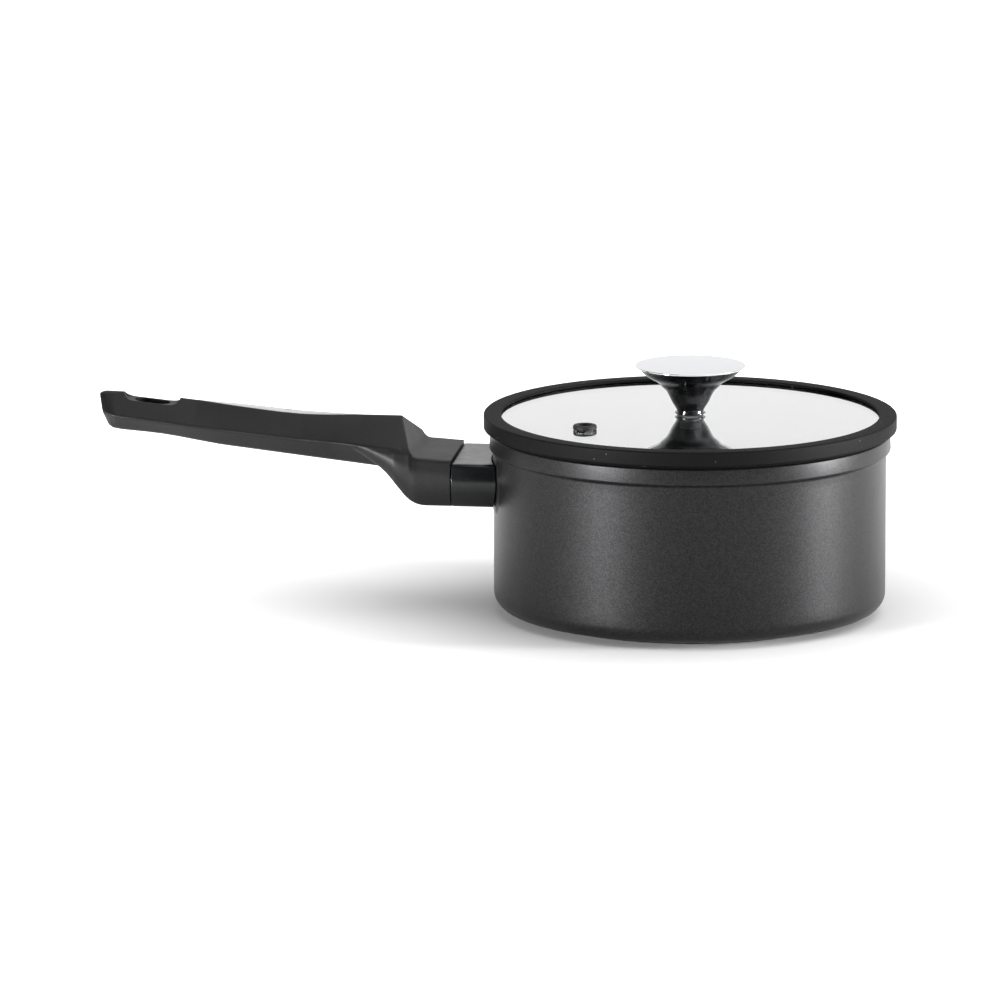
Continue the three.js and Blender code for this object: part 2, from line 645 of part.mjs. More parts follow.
function glassDisc() {
  const edge = GLASS_RADIUS - LID_TOP_WIDTH / 2;
  const radii = [0, edge * 0.3, edge * 0.55, edge * 0.8, edge];
  const top = radii.map((r) => [r, glassHeight(r)]).reverse();
  const under = radii.map((r) => [r, glassHeight(r) - GLASS_THICKNESS]);
  const outline = [
    ...under,
    [GLASS_RADIUS - 0.6, GLASS_EDGE_TOP - GLASS_THICKNESS],
    [GLASS_RADIUS, GLASS_EDGE_TOP - GLASS_THICKNESS + 0.6],
    [GLASS_RADIUS, GLASS_EDGE_TOP - 0.6],
    [GLASS_RADIUS - 0.6, GLASS_EDGE_TOP],
    ...top,
  ];
  const vent = uprightRod(VENT_NECK_RADIUS + FIT, 0, LID_TOP + 5).translate(ventPlace());
  const middle = uprightRod(KNOB_SCREW_RADIUS + 1.2, 0, LID_TOP + 5);
  return turned(outline, WIDE_SIDES).subtract(vent).subtract(middle);
}

function siliconeRim() {
  const seat = LID_RADIUS - LID_CHAMFER_WIDTH;
  const groove = GLASS_RADIUS + FIT;
  const grooveFloor = GLASS_EDGE_TOP - GLASS_THICKNESS - FIT;
  const inner = LID_RADIUS - LID_TOP_WIDTH;
  const plugOuter = CAVITY_RADIUS - PLUG_CLEARANCE;
  const plugInner = plugOuter - PLUG_THICKNESS;
  const plugBottom = LID_BOTTOM - PLUG_DEPTH;
  const outline = rounded(
    [
      [seat, LID_BOTTOM],
      [LID_RADIUS, LID_BOTTOM + LID_CHAMFER_HEIGHT],
      [LID_RADIUS, LID_TOP, 0.6],
      [inner, LID_TOP, 0.5],
      [inner, LID_TOP - LIP_THICKNESS],
      [groove, LID_TOP - LIP_THICKNESS],
      [groove, grooveFloor],
      [plugInner, grooveFloor],
      [plugInner, plugBottom, 0.6],
      [plugOuter, plugBottom, 0.9],
      [plugOuter, LID_BOTTOM],
    ],
    true,
  );
  return turned(outline, WIDE_SIDES);
}

function ventPlace() {
  const angle = THREE.MathUtils.degToRad(VENT_ANGLE);
  return [VENT_REACH * Math.cos(angle), VENT_REACH * Math.sin(angle), 0];
}

function ventGrommet() {
  const glass = glassHeight(VENT_REACH);
  const under = glass - GLASS_THICKNESS;
  const top = glass + FIT + VENT_HEIGHT;
  const outline = rounded(
    [
      [VENT_HOLE_RADIUS, under - FIT - 1.2],
      [VENT_FLANGE_RADIUS, under - FIT - 1.2, 0.5],
      [VENT_FLANGE_RADIUS, under - FIT],
      [VENT_NECK_RADIUS, under - FIT],
      [VENT_NECK_RADIUS, glass + FIT],
      [VENT_FLANGE_RADIUS, glass + FIT],
      [VENT_FLANGE_RADIUS, top, 0.8],
      [VENT_HOLE_RADIUS, top, 0.4],
    ],
    true,
  );
  return turned(outline, SMALL_SIDES).translate(ventPlace());
}

// ---------------------------------------------------------------- knob

const KNOB_BASE = GLASS_TOP + SEAT + UPPER_SEAL_THICKNESS + SEAT;
const GLASS_UNDER = GLASS_TOP - GLASS_THICKNESS;
const LOWER_SEAL_TOP = GLASS_UNDER - SEAT;
const KNOB_WASHER_TOP = LOWER_SEAL_TOP - LOWER_SEAL_THICKNESS - SEAT;
const KNOB_HEAD_TOP = KNOB_WASHER_TOP - KNOB_WASHER_THICKNESS - SEAT;

// The flared side of the knob: a smooth curve from the narrow foot to the wide rim.
function knobSide() {
  const h = KNOB_HEIGHT - KNOB_CAP_EDGE - SEAT;
  const rim = KNOB_RADIUS - KNOB_CAP_OVERHANG;
  const flare = rim - KNOB_FOOT_RADIUS;
  const curve = new THREE.SplineCurve([
    new THREE.Vector2(KNOB_FOOT_RADIUS, 0),
    new THREE.Vector2(KNOB_FOOT_RADIUS + flare * 0.015, 0.095 * h),
    new THREE.Vector2(KNOB_FOOT_RADIUS + flare * 0.128, 0.254 * h),
    new THREE.Vector2(KNOB_FOOT_RADIUS + flare * 0.262, 0.477 * h),
    new THREE.Vector2(KNOB_FOOT_RADIUS + flare * 0.4, 0.6 * h),
    new THREE.Vector2(KNOB_FOOT_RADIUS + flare * 0.518, 0.7 * h),
    new THREE.Vector2(KNOB_FOOT_RADIUS + flare * 0.8, 0.84 * h),
    new THREE.Vector2(rim, h),
  ]);
  const flared = curve.getPoints(14).map((p) => [p.x, KNOB_BASE + p.y]);
  const flangeTop = KNOB_BASE + KNOB_FLANGE_HEIGHT;
  return [
    [KNOB_FLANGE_RADIUS, KNOB_BASE],
    [KNOB_FLANGE_RADIUS, flangeTop],
    [KNOB_FOOT_RADIUS, flangeTop],
    ...flared.filter(([, z]) => z > flangeTop + 0.3),
  ];
}

function knobStem() {
  const side = knobSide();
  const hollowFrom = KNOB_BASE + KNOB_FLOOR;
  const inside = side
    .filter(([, z]) => z > hollowFrom + 1)
    .map(([r, z]) => [r - KNOB_WALL, z])
    .reverse();
  const hole = KNOB_SCREW_RADIUS + FIT;
  const first = inside[inside.length - 1];
  const outline = [
    [hole, KNOB_BASE],
    ...side,
    ...inside,
    [first[0] - 0.3, hollowFrom],
    [hole, hollowFrom],
  ];
  return turned(outline, KNOB_SIDES);
}

function knobBoss() {
  const from = KNOB_BASE + KNOB_FLOOR + SEAT;
  const boss = uprightRod(KNOB_BOSS_RADIUS, from, from + KNOB_BOSS_HEIGHT, KNOB_SIDES);
  return boss.subtract(uprightRod(KNOB_SCREW_RADIUS + SEAT, from - 1, from + KNOB_BOSS_HEIGHT - 1));
}

function knobCap() {
  const from = KNOB_BASE + KNOB_HEIGHT - KNOB_CAP_EDGE;
  const rim = KNOB_RADIUS;
  const outline = rounded(
    [
      [0, from],
      [rim - 0.8, from],
      [rim, from + 0.35, 0.3],
      [rim, from + KNOB_CAP_EDGE, 0.35],
      [rim * 0.75, from + KNOB_CAP_EDGE + KNOB_CAP_CROWN * 0.45],
      [rim * 0.4, from + KNOB_CAP_EDGE + KNOB_CAP_CROWN * 0.85],
      [0, from + KNOB_CAP_EDGE + KNOB_CAP_CROWN],
    ],
    true,
  );
  return turned(outline, KNOB_SIDES);
}

function ringAbout(outer, inner, fromZ, toZ) {
  return uprightRod(outer, fromZ, toZ).subtract(uprightRod(inner, fromZ - 1, toZ + 1));
}

function knobScrew() {
  const head = uprightRod(KNOB_SCREW_HEAD_RADIUS, KNOB_HEAD_TOP - KNOB_SCREW_HEAD_HEIGHT, KNOB_HEAD_TOP);
  const top = KNOB_BASE + KNOB_FLOOR + KNOB_BOSS_HEIGHT - 2;
  const shank = uprightRod(KNOB_SCREW_RADIUS, KNOB_HEAD_TOP - 1, top);
  const drive = [0, Math.PI / 2].map((turn) => {
    const blade = new THREE.BoxGeometry(5, 1, 3);
    blade.rotateZ(turn);
    blade.translate(0, 0, KNOB_HEAD_TOP - KNOB_SCREW_HEAD_HEIGHT);
    return solidOf(blade);
  });
  return head.add(shank).subtract(drive[0]).subtract(drive[1]);
}

// ---------------------------------------------------------------- the object

const boltHole = KNOB_SCREW_RADIUS + FIT;
const upperSeal = ringAbout(KNOB_FOOT_RADIUS - 0.2, boltHole, GLASS_TOP + SEAT, KNOB_BASE - SEAT);
const lowerSeal = ringAbout(
  KNOB_WASHER_RADIUS,
  boltHole,
  LOWER_SEAL_TOP - LOWER_SEAL_THICKNESS,
  LOWER_SEAL_TOP,
);
const knobWasher = ringAbout(
  KNOB_WASHER_RADIUS,
  boltHole,
  KNOB_WASHER_TOP - KNOB_WASHER_THICKNESS,
  KNOB_WASHER_TOP,
);

piece("pan_body", panBody(), 0x4a4b4e, 0.45, 0.5);
piece("induction_disc", inductionDisc(), 0xa9abad, 0.35, 1);
piece("screw_insert", screwInsert(), 0x9a9c9e, 0.4, 1);
piece("flame_guard", flameGuard(), 0x17181a, 0.3, 0);
piece("handle_grip", handleGrip(), 0x2a2b2d, 0.6, 0);
piece("handle_inlay", handleInlay(), 0xc9cbcd, 0.25, 1);
piece("handle_washer", handleWasher(), 0xb4b6b8, 0.35, 1);
piece("spring_washer", springWasher(), 0x9d9fa1, 0.35, 1);
piece("handle_screw", handleScrew(), 0xb9bbbd, 0.3, 1);
piece("glass_disc", glassDisc(), 0xe8eeee, 0.05, 0);
piece("silicone_rim", siliconeRim(), 0x2f3032, 0.75, 0);
piece("vent_grommet", ventGrommet(), 0x141415, 0.6, 0);
piece("knob_stem", knobStem(), 0xc6c8ca, 0.12, 1);
piece("knob_cap", knobCap(), 0xd2d4d6, 0.08, 1);
piece("knob_boss", knobBoss(), 0xa5a7a9, 0.4, 1);
piece("knob_upper_seal", upperSeal, 0x2b2c2e, 0.8, 0);
piece("knob_lower_seal", lowerSeal, 0x2b2c2e, 0.8, 0);
piece("knob_washer", knobWasher, 0xb4b6b8, 0.35, 1);
piece("knob_screw", knobScrew(), 0xb9bbbd, 0.3, 1);

export default group;
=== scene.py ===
"""Looks of a small saucepan with one long moulded handle and a glass lid.

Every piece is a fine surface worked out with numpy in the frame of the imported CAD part, which it
replaces node by node. Shapes are worked out in millimetres and stored in metres, with +Z up, the
origin at the middle of the base's underside and the handle running out along -X. "Reach" is the
distance from the pan's axis along the handle.
"""

import sys

import logging
import math
from dataclasses import dataclass, field, replace
from enum import Enum

import bmesh
import bpy
import numpy as np
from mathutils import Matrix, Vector


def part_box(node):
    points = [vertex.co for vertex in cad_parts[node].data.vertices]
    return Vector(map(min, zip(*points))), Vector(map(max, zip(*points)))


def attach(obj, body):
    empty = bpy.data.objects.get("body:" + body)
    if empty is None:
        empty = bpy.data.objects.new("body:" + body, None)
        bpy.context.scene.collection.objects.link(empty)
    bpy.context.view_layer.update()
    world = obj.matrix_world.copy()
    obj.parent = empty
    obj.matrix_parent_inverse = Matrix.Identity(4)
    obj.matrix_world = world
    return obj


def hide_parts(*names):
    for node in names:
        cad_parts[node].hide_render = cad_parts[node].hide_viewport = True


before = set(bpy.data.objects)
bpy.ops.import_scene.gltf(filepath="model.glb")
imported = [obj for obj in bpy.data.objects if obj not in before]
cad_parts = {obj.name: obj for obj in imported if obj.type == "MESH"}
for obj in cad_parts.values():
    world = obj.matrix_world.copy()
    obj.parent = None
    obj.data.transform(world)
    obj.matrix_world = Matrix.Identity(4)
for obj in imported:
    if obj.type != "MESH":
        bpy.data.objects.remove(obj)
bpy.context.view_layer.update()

logging.basicConfig(level=logging.INFO, format="%(message)s", stream=sys.stdout)
log = logging.getLogger("saucepan")

MM = 0.001
FIT = 0.3  # clearance between a piece and the hole or socket that holds it, mm
SEAT = 0.1  # clearance between two flat faces that rest on each other, mm
WIDE_SIDES = 256  # round the pan and the lid
KNOB_SIDES = 160
SMALL_SIDES = 64
ROOT_SIDES = 240  # round the guard's sleeve
GRIP_SIDES = 232  # round the grip
PAD_SIDES = 144  # round the pad on the pan's wall
CUT_SIDES = 96  # round the lug, the slot and the scoop
FAR = 200.0  # longer than any ray inside the handle, mm
FINE_ARC = math.radians(9)  # step along a rounded corner

Outline = list[tuple[float, ...]]
Point = tuple[np.ndarray | float, np.ndarray | float]  # y and z, for every section
Tree = bpy.types.NodeTree
Node = bpy.types.Node
Socket = bpy.types.NodeSocket


class Body(Enum):
    """The two bodies that move apart."""

    PAN = "pan"
    LID = "lid"


class Axis(Enum):
    """The line that a turned piece is turned about."""

    UP = "up"
    HANDLE = "along the handle"


# ---------------------------------------------------------------- shapes


def smoothstep(value: np.ndarray, low: float, high: float) -> np.ndarray:
    """Rises from 0 at low to 1 at high as 3t^2 - 2t^3.

    Args:
        value: where to evaluate it.
        low: where it leaves 0.
        high: where it reaches 1.

    Returns:
        The risen values, with the shape of value.
    """
    t = np.clip((np.asarray(value, float) - low) / (high - low), 0, 1)
    return t * t * (3 - 2 * t)


def rounded(corners: Outline, closed: bool = False) -> np.ndarray:
    """An outline through corner points, each rounded by a circular arc.

    An arc touches both sides at cut = radius / tan(half the corner), and turns about the point on
    the corner's bisector that lies radius away from both sides. A cut takes less than half a side.

    Args:
        corners: (a, b) or (a, b, radius) for each corner.
        closed: whether the last corner joins the first.

    Returns:
        The outline's points, as rows of two.
    """
    places = [np.array(c[:2], float) for c in corners]
    out: list[np.ndarray] = []
    for i, corner in enumerate(corners):
        radius = corner[2] if len(corner) > 2 else 0
        if not radius or (not closed and i in (0, len(corners) - 1)):
            out.append(places[i][None])
            continue
        before = places[i - 1] - places[i]
        after = places[(i + 1) % len(corners)] - places[i]
        shorter = min(np.linalg.norm(before), np.linalg.norm(after))
        before /= np.linalg.norm(before)
        after /= np.linalg.norm(after)
        half = math.acos(float(np.clip(before @ after, -1, 1))) / 2
        cut = min(radius / math.tan(half), shorter * 0.49)
        used = cut * math.tan(half)
        middle = (before + after) / np.linalg.norm(before + after)
        centre = places[i] + middle * used / math.sin(half)
        first = places[i] + before * cut - centre
        last = places[i] + after * cut - centre
        turn = math.atan2(first[0] * last[1] - first[1] * last[0], float(first @ last))
        angles = np.linspace(0, turn, max(2, math.ceil(abs(turn) / FINE_ARC)) + 1)
        sine, cosine = np.sin(angles), np.cos(angles)
        arc = [first[0] * cosine - first[1] * sine, first[0] * sine + first[1] * cosine]
        out.append(centre + np.stack(arc, 1))
    return np.concatenate(out)


def spread(outline: np.ndarray, step: float, closed: bool = False) -> np.ndarray:
    """Adds points on an outline's sides, evenly, so that none is longer than a step.

    Args:
        outline: points as rows.
        step: longest side allowed.
        closed: whether the last point joins the first.

    Returns:
        The outline with the added points.
    """
    points = np.concatenate([outline, outline[:1]]) if closed else outline
    lengths = np.linalg.norm(np.diff(points, axis=0), axis=1)
    counts = np.maximum(np.ceil(lengths / step).astype(int), 1)
    side = np.repeat(np.arange(len(counts)), counts)
    part = np.concatenate([np.arange(n) / n for n in counts])[:, None]
    out = points[side] * (1 - part) + points[side + 1] * part
    return out if closed else np.concatenate([out, points[-1:]])


def spline(points: np.ndarray, count: int) -> np.ndarray:
    """An even Catmull-Rom curve through points.

    Between two points it is the cubic that leaves and arrives with half the difference of the
    neighbours on each side.

    Args:
        points: rows of two.
        count: how many steps the curve takes.

    Returns:
        count + 1 points on the curve.
    """
    places = np.linspace(0, len(points) - 1, count + 1)
    i = np.minimum(places.astype(int), len(points) - 2)
    t = (places - i)[:, None]
    at = [points[np.clip(i + k, 0, len(points) - 1)] for k in (-1, 0, 1, 2)]
    leave, arrive = (at[2] - at[0]) / 2, (at[3] - at[1]) / 2
    cubic = (2 * (at[1] - at[2]) + leave + arrive) * t**3
    square = (3 * (at[2] - at[1]) - 2 * leave - arrive) * t**2
    return cubic + square + leave * t + at[1]


def polar_ring(outline: np.ndarray, middle: tuple[float, float], sides: int) -> np.ndarray:
    """Points of a closed outline at even angles about its middle.

    Args:
        outline: rows of two, all of it seen from the middle.
        middle: the point the angles turn about.
        sides: how many points.

    Returns:
        sides rows of two, counter-clockwise.
    """
    fine = spread(outline, 0.15, closed=True) - np.array(middle)
    angle = np.arctan2(fine[:, 1], fine[:, 0])
    order = np.argsort(angle)
    wanted = np.linspace(-math.pi, math.pi, sides, endpoint=False)
    length = np.interp(wanted, angle[order], np.hypot(*fine[order].T), period=2 * math.pi)
    return np.stack([np.cos(wanted), np.sin(wanted)], 1) * length[:, None] + np.array(middle)


def stadium_ring(length: float, width: float, sides: int) -> np.ndarray:
    """Two straight sides joined by half circles, long side along the first axis.

    Args:
        length: over both half circles.
        width: across.
        sides: how many points.

    Returns:
        Rows of two.
    """
    straight, radius = (length - width) / 2, width / 2
    angle = np.linspace(-math.pi / 2, 1.5 * math.pi, sides, endpoint=False)
    shift = np.where(np.arange(sides) < sides / 2, straight, -straight)
    return np.stack([shift + radius * np.cos(angle), radius * np.sin(angle)], 1)


def lens_ring(length: float, width: float, count: int) -> np.ndarray:
    """Two equal arcs that meet at sharp ends, long side along the first axis.

    Args:
        length: from end to end.
        width: across its middle.
        count: points on each arc.

    Returns:
        Rows of two.
    """
    t = np.linspace(-1, 1, count, endpoint=False)
    half = np.stack([t * length / 2, (1 - t * t) * -width / 2], 1)
    return np.concatenate([half, -half])


class Skin:
    """A closed surface: a stack of rings of equal length, in millimetres.

    The first and last rings are closed to their middles, or join each other where joined is set,
    as on a ring with a hole.
    """

    def __init__(self, rings: np.ndarray, joined: bool = False) -> None:
        """Keeps rings as [ring, point, xyz]."""
        self.rings = np.asarray(rings, float)
        self.joined = joined

    @classmethod
    def turned(
        cls, outline: np.ndarray, sides: int, axis: Axis = Axis.UP, joined: bool = False
    ) -> "Skin":
        """Carries an outline round an axis: x = r cos a, y = r sin a.

        Args:
            outline: [radius, height] points, or [radius, reach] about the handle's screw line.
                It starts and ends on the axis, or is closed and joined is set.
            sides: steps round the axis.
            axis: the line it turns about.
            joined: whether the outline's last point joins its first.

        Returns:
            The skin.
        """
        angle = np.linspace(0, 2 * math.pi, sides, endpoint=False)
        radius, along = outline[:, 0][:, None], outline[:, 1][:, None] + 0 * angle
        first, second = radius * np.cos(angle), radius * np.sin(angle)
        if axis is Axis.UP:
            return cls(np.stack([first, second, along], 2), joined)
        return cls(np.stack([-along, first, second + HandleRoot.BOLT_HEIGHT], 2), joined)

    def mesh(self, name: str) -> bpy.types.Mesh:
        """Makes the mesh: quads between rings, and a fan over each end or a join of both ends.

        Args:
            name: the mesh's name.

        Returns:
            The mesh, with its faces pointing outwards.
        """
        rings, sides = self.rings.shape[:2]
        points = self.rings.reshape(-1, 3)
        ring = np.arange(rings if self.joined else rings - 1)[:, None] * sides
        here = np.arange(sides)[None]
        there = (here + 1) % sides
        above = (ring + sides) % (rings * sides)
        quads = np.stack([ring + here, ring + there, above + there, above + here], 2)
        faces = quads.reshape(-1, 4).tolist()
        if not self.joined:
            middles = self.rings[[0, -1]].mean(1)
            hub, last = len(points), (rings - 1) * sides
            points = np.concatenate([points, middles])
            start = np.stack([np.full(sides, hub), there[0], here[0]], 1)
            end = np.stack([np.full(sides, hub + 1), here[0] + last, there[0] + last], 1)
            faces += start.tolist() + end.tolist()
        mesh = bpy.data.meshes.new(name)
        mesh.from_pydata((points * MM).tolist(), [], faces)
        clean(mesh)
        return mesh


def clean(mesh: bpy.types.Mesh) -> None:
    """Merges doubled points, drops flat faces and points every face outwards.

    Args:
        mesh: changed in place.
    """
    work = bmesh.new()
    work.from_mesh(mesh)
    bmesh.ops.remove_doubles(work, verts=work.verts, dist=2e-6)
    bmesh.ops.dissolve_degenerate(work, edges=work.edges, dist=1e-6)
    bmesh.ops.recalc_face_normals(work, faces=work.faces)
    work.to_mesh(mesh)
    work.free()
    mesh.update()


@dataclass
class Piece:
    """One shown piece and how it takes part in the frame.

    Attributes:
        name: object name.
        skins: closed skins.
        body: the body it moves with.
        node: the CAD node it stands for.
        slot: the material slot of the record; not used.
        finish: what it is made of.
        cuts: closed skins taken out of the first one.
        crease: angle in degrees above which an edge stays sharp.
    """

    name: str
    skins: list[Skin]
    body: Body
    node: str
    slot: str
    finish: "Finish"
    cuts: list[Skin] = field(default_factory=list)
    crease: float = 40

    def build(self) -> bpy.types.Object:
        """Makes, cuts, shades, dresses and places the object, and logs how it fits its node.

        Returns:
            The object.
        """
        meshes = [skin.mesh(self.name) for skin in self.skins]
        thing = bpy.data.objects.new(self.name, meshes[0])
        bpy.context.scene.collection.objects.link(thing)
        if self.cuts:
            self.cut(thing)
        for extra in meshes[1:]:
            join(thing, extra)
        count = len(thing.data.polygons)
        thing.data.polygons.foreach_set("use_smooth", np.ones(count, bool))
        thing.data.polygons.foreach_set("material_index", np.zeros(count, np.int32))
        thing.data.set_sharp_from_angle(angle=math.radians(self.crease))
        thing.data.materials.clear()
        thing.data.materials.append(self.finish.material())
        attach(thing, self.body.value)
        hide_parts(self.node)
        self.report(thing)
        return thing

    def cut(self, thing: bpy.types.Object) -> None:
        """Takes the cutters out of the object's mesh.

        Args:
            thing: the object whose mesh is replaced by the cut one.
        """
        tools = []
        for i, skin in enumerate(self.cuts):
            tool = bpy.data.objects.new(f"{self.name}_cut{i}", skin.mesh("cut"))
            bpy.context.scene.collection.objects.link(tool)
            step = thing.modifiers.new(f"cut{i}", "BOOLEAN")
            step.operation, step.solver, step.object = "DIFFERENCE", "MANIFOLD", tool
            tools.append(tool)
        graph = bpy.context.evaluated_depsgraph_get()
        result = bpy.data.meshes.new_from_object(thing.evaluated_get(graph))
        thing.modifiers.clear()
        thing.data = result
        for tool in tools:
            bpy.data.objects.remove(tool)

    def report(self, thing: bpy.types.Object) -> None:
        """Logs triangles and the largest difference between this piece's box and its node's.

        Args:
            thing: the finished object.
        """
        places = np.empty(len(thing.data.vertices) * 3)
        thing.data.vertices.foreach_get("co", places)
        places = places.reshape(-1, 3)
        low, high = (np.array(corner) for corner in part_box(self.node))
        gap = max(np.abs(places.min(0) - low).max(), np.abs(places.max(0) - high).max())
        count = sum(len(p.vertices) - 2 for p in thing.data.polygons)
        log.info("%-18s %7d triangles, box within %.2f mm", self.name, count, gap / MM)


def join(thing: bpy.types.Object, extra: bpy.types.Mesh) -> None:
    """Adds another closed mesh to an object's mesh, as an island of its own.

    Args:
        thing: the object that is added to.
        extra: the closed mesh that is added.
    """
    work = bmesh.new()
    work.from_mesh(thing.data)
    work.from_mesh(extra)
    work.to_mesh(thing.data)
    work.free()


# ---------------------------------------------------------------- finishes


def linear(hex_colour: str) -> tuple[float, float, float, float]:
    """Turns an sRGB hex colour such as "#808080" to linear light, with alpha 1.

    Args:
        hex_colour: a hash and six digits.

    Returns:
        Red, green, blue and alpha.
    """
    parts = [int(hex_colour[i : i + 2], 16) / 255 for i in (1, 3, 5)]
    values = [p / 12.92 if p <= 0.04045 else ((p + 0.055) / 1.055) ** 2.4 for p in parts]
    return (*values, 1.0)


def add(
    tree: Tree,
    kind: str,
    settings: dict[str | int, object] | None = None,
    links: dict[str | int, Socket] | None = None,
    **attributes: object,
) -> Node:
    """Adds a node with its settings and links.

    Args:
        tree: the node tree.
        kind: Blender's node type, without its "ShaderNode".
        settings: input name or number to value.
        links: input name or number to the output that feeds it.
        attributes: the node's own options, set first.

    Returns:
        The node.
    """
    node = tree.nodes.new(f"ShaderNode{kind}")
    for name, value in attributes.items():
        setattr(node, name, value)
    for socket, value in (settings or {}).items():
        node.inputs[socket].default_value = value
    for socket, source in (links or {}).items():
        tree.links.new(source, node.inputs[socket])
    return node


def maths(
    tree: Tree, operation: str, first: Socket, second: Socket | float, clamp: bool = False
) -> Socket:
    """The result of a Math node on a socket and a socket or number, held to 0 to 1 by clamp.

    Args:
        tree: the node tree.
        operation: the Math node's operation.
        first: first input.
        second: second input, linked or set.
        clamp: whether the result is held to 0 to 1.

    Returns:
        The node's output.
    """
    number = isinstance(second, float)
    settings = {1: second} if number else {}
    links = {0: first} if number else {0: first, 1: second}
    return add(tree, "Math", settings, links, operation=operation, use_clamp=clamp).outputs[0]


@dataclass
class Nodes:
    """The nodes of one material.

    Attributes:
        tree: the material's tree.
        shader: its Principled shader.
        place: Object coordinates, in metres.
        out: the material output.
    """

    tree: Tree
    shader: Node
    place: Socket
    out: Node

    def noise(self, size: float, detail: float = 3.0, roughness: float = 0.5) -> Socket:
        """Soft noise from 0 to 1, about size mm from bump to bump.

        Args:
            size: mm.
            detail: how many finer layers.
            roughness: share of the finer layers.

        Returns:
            The pattern.
        """
        settings = {"Scale": 1 / (size * MM), "Detail": detail, "Roughness": roughness}
        return add(self.tree, "TexNoise", settings, {"Vector": self.place}).outputs[0]

    def cells(self, size: float) -> tuple[Socket, Socket, Socket]:
        """Cells of size mm: two random values for each, and the distance from its middle.

        Args:
            size: mm.

        Returns:
            The two random values and the distance, in cell sizes.
        """
        node = add(self.tree, "TexVoronoi", {"Scale": 1 / (size * MM)}, {"Vector": self.place})
        parts = add(self.tree, "SeparateColor", links={"Color": node.outputs["Color"]})
        return parts.outputs[0], parts.outputs[1], node.outputs["Distance"]

    def vary(self, value: Socket, low: float, high: float) -> None:
        """Feeds the roughness with a pattern's 0 to 1 spread between two values.

        Args:
            value: the pattern.
            low: roughness where it is low.
            high: roughness where it is high.
        """
        settings = {"From Min": 0.25, "From Max": 0.75, "To Min": low, "To Max": high}
        spread_out = add(self.tree, "MapRange", settings, {"Value": value})
        self.tree.links.new(spread_out.outputs[0], self.shader.inputs["Roughness"])

    def tint(self, value: Socket, dark: str, light: str) -> None:
        """Feeds the base colour with a pattern's 0 to 1 spread between two colours.

        Args:
            value: the pattern.
            dark: sRGB hex where it is low.
            light: sRGB hex where it is high.
        """
        ramp = add(self.tree, "ValToRGB", links={"Fac": value})
        for stop, place, colour in zip(ramp.color_ramp.elements, (0.25, 0.75), (dark, light)):
            stop.position, stop.color = place, linear(colour)
        self.tree.links.new(ramp.outputs[0], self.shader.inputs["Base Color"])

    def bump(self, height: Socket, depth: float, strength: float, edge: float = 0.0) -> None:
        """Feeds the normal with a height pattern, over softened edges where edge is over 0.

        Args:
            height: 0 to 1 pattern.
            depth: how deep the pattern is, mm.
            strength: share of it that shows.
            edge: radius of softened edges, mm.
        """
        settings = {"Strength": strength, "Distance": depth * MM}
        node = add(self.tree, "Bump", settings, {"Height": height})
        if edge:
            soft = add(self.tree, "Bevel", {"Radius": edge * MM}, samples=6)
            self.tree.links.new(soft.outputs[0], node.inputs["Normal"])
        self.tree.links.new(node.outputs[0], self.shader.inputs["Normal"])


@dataclass(frozen=True)
class Finish:
    """A surface finish. Subclasses add its pattern.

    Attributes:
        name: material name.
        colour: sRGB hex.
        roughness: of the reflection.
        metallic: 0 or 1, or between for a metal flake in a clear binder.
        ior: of the surface.
    """

    name: str
    colour: str
    roughness: float
    metallic: float = 0.0
    ior: float = 1.5

    def material(self) -> bpy.types.Material:
        """Makes the material the first time it is asked for.

        Returns:
            The material.
        """
        found = bpy.data.materials.get(self.name)
        if found:
            return found
        made = bpy.data.materials.new(self.name)
        made.use_nodes = True
        tree = made.node_tree
        tree.nodes.clear()
        settings = {
            "Base Color": linear(self.colour),
            "Roughness": self.roughness,
            "Metallic": self.metallic,
            "IOR": self.ior,
        }
        shader = add(tree, "BsdfPrincipled", settings)
        out = add(tree, "OutputMaterial", links={"Surface": shader.outputs[0]})
        place = add(tree, "TexCoord").outputs["Object"]
        self.pattern(Nodes(tree, shader, place, out))
        return made

    def pattern(self, nodes: Nodes) -> None:
        """Adds the finish's own nodes."""
        raise NotImplementedError


@dataclass(frozen=True)
class CoatedAluminium(Finish):
    """Cast aluminium under a sprayed non-stick coating with metal flake.

    The eye gets a dark, softly shining grey with a fine sparkle.
    """

    flake: float = 0.4  # mm; the real flake is finer, this is the finest that shows

    def pattern(self, nodes: Nodes) -> None:
        """Random cells for the flake, in brightness and tilt, over a faint sprayed mottle.

        Args:
            nodes: the material's nodes.
        """
        brightness, tilt, _ = nodes.cells(self.flake)
        nodes.tint(brightness, "#161617", "#242425")
        nodes.vary(nodes.noise(14, 4.0), 0.37, 0.41)
        nodes.bump(tilt, 0.02, 0.25)


@dataclass(frozen=True)
class GuardPlastic(Finish):
    """Injection-moulded, glass-filled nylon, polished in the mould.

    The eye gets near-black with a clear, slightly wavy shine.
    """

    def pattern(self, nodes: Nodes) -> None:
        """A slow ripple in gloss and height, as moulded skin has.

        Args:
            nodes: the material's nodes.
        """
        ripple = nodes.noise(5)
        nodes.tint(ripple, "#0b0c0d", "#0f1011")
        nodes.vary(ripple, 0.2, 0.28)
        nodes.bump(ripple, 0.03, 0.3)


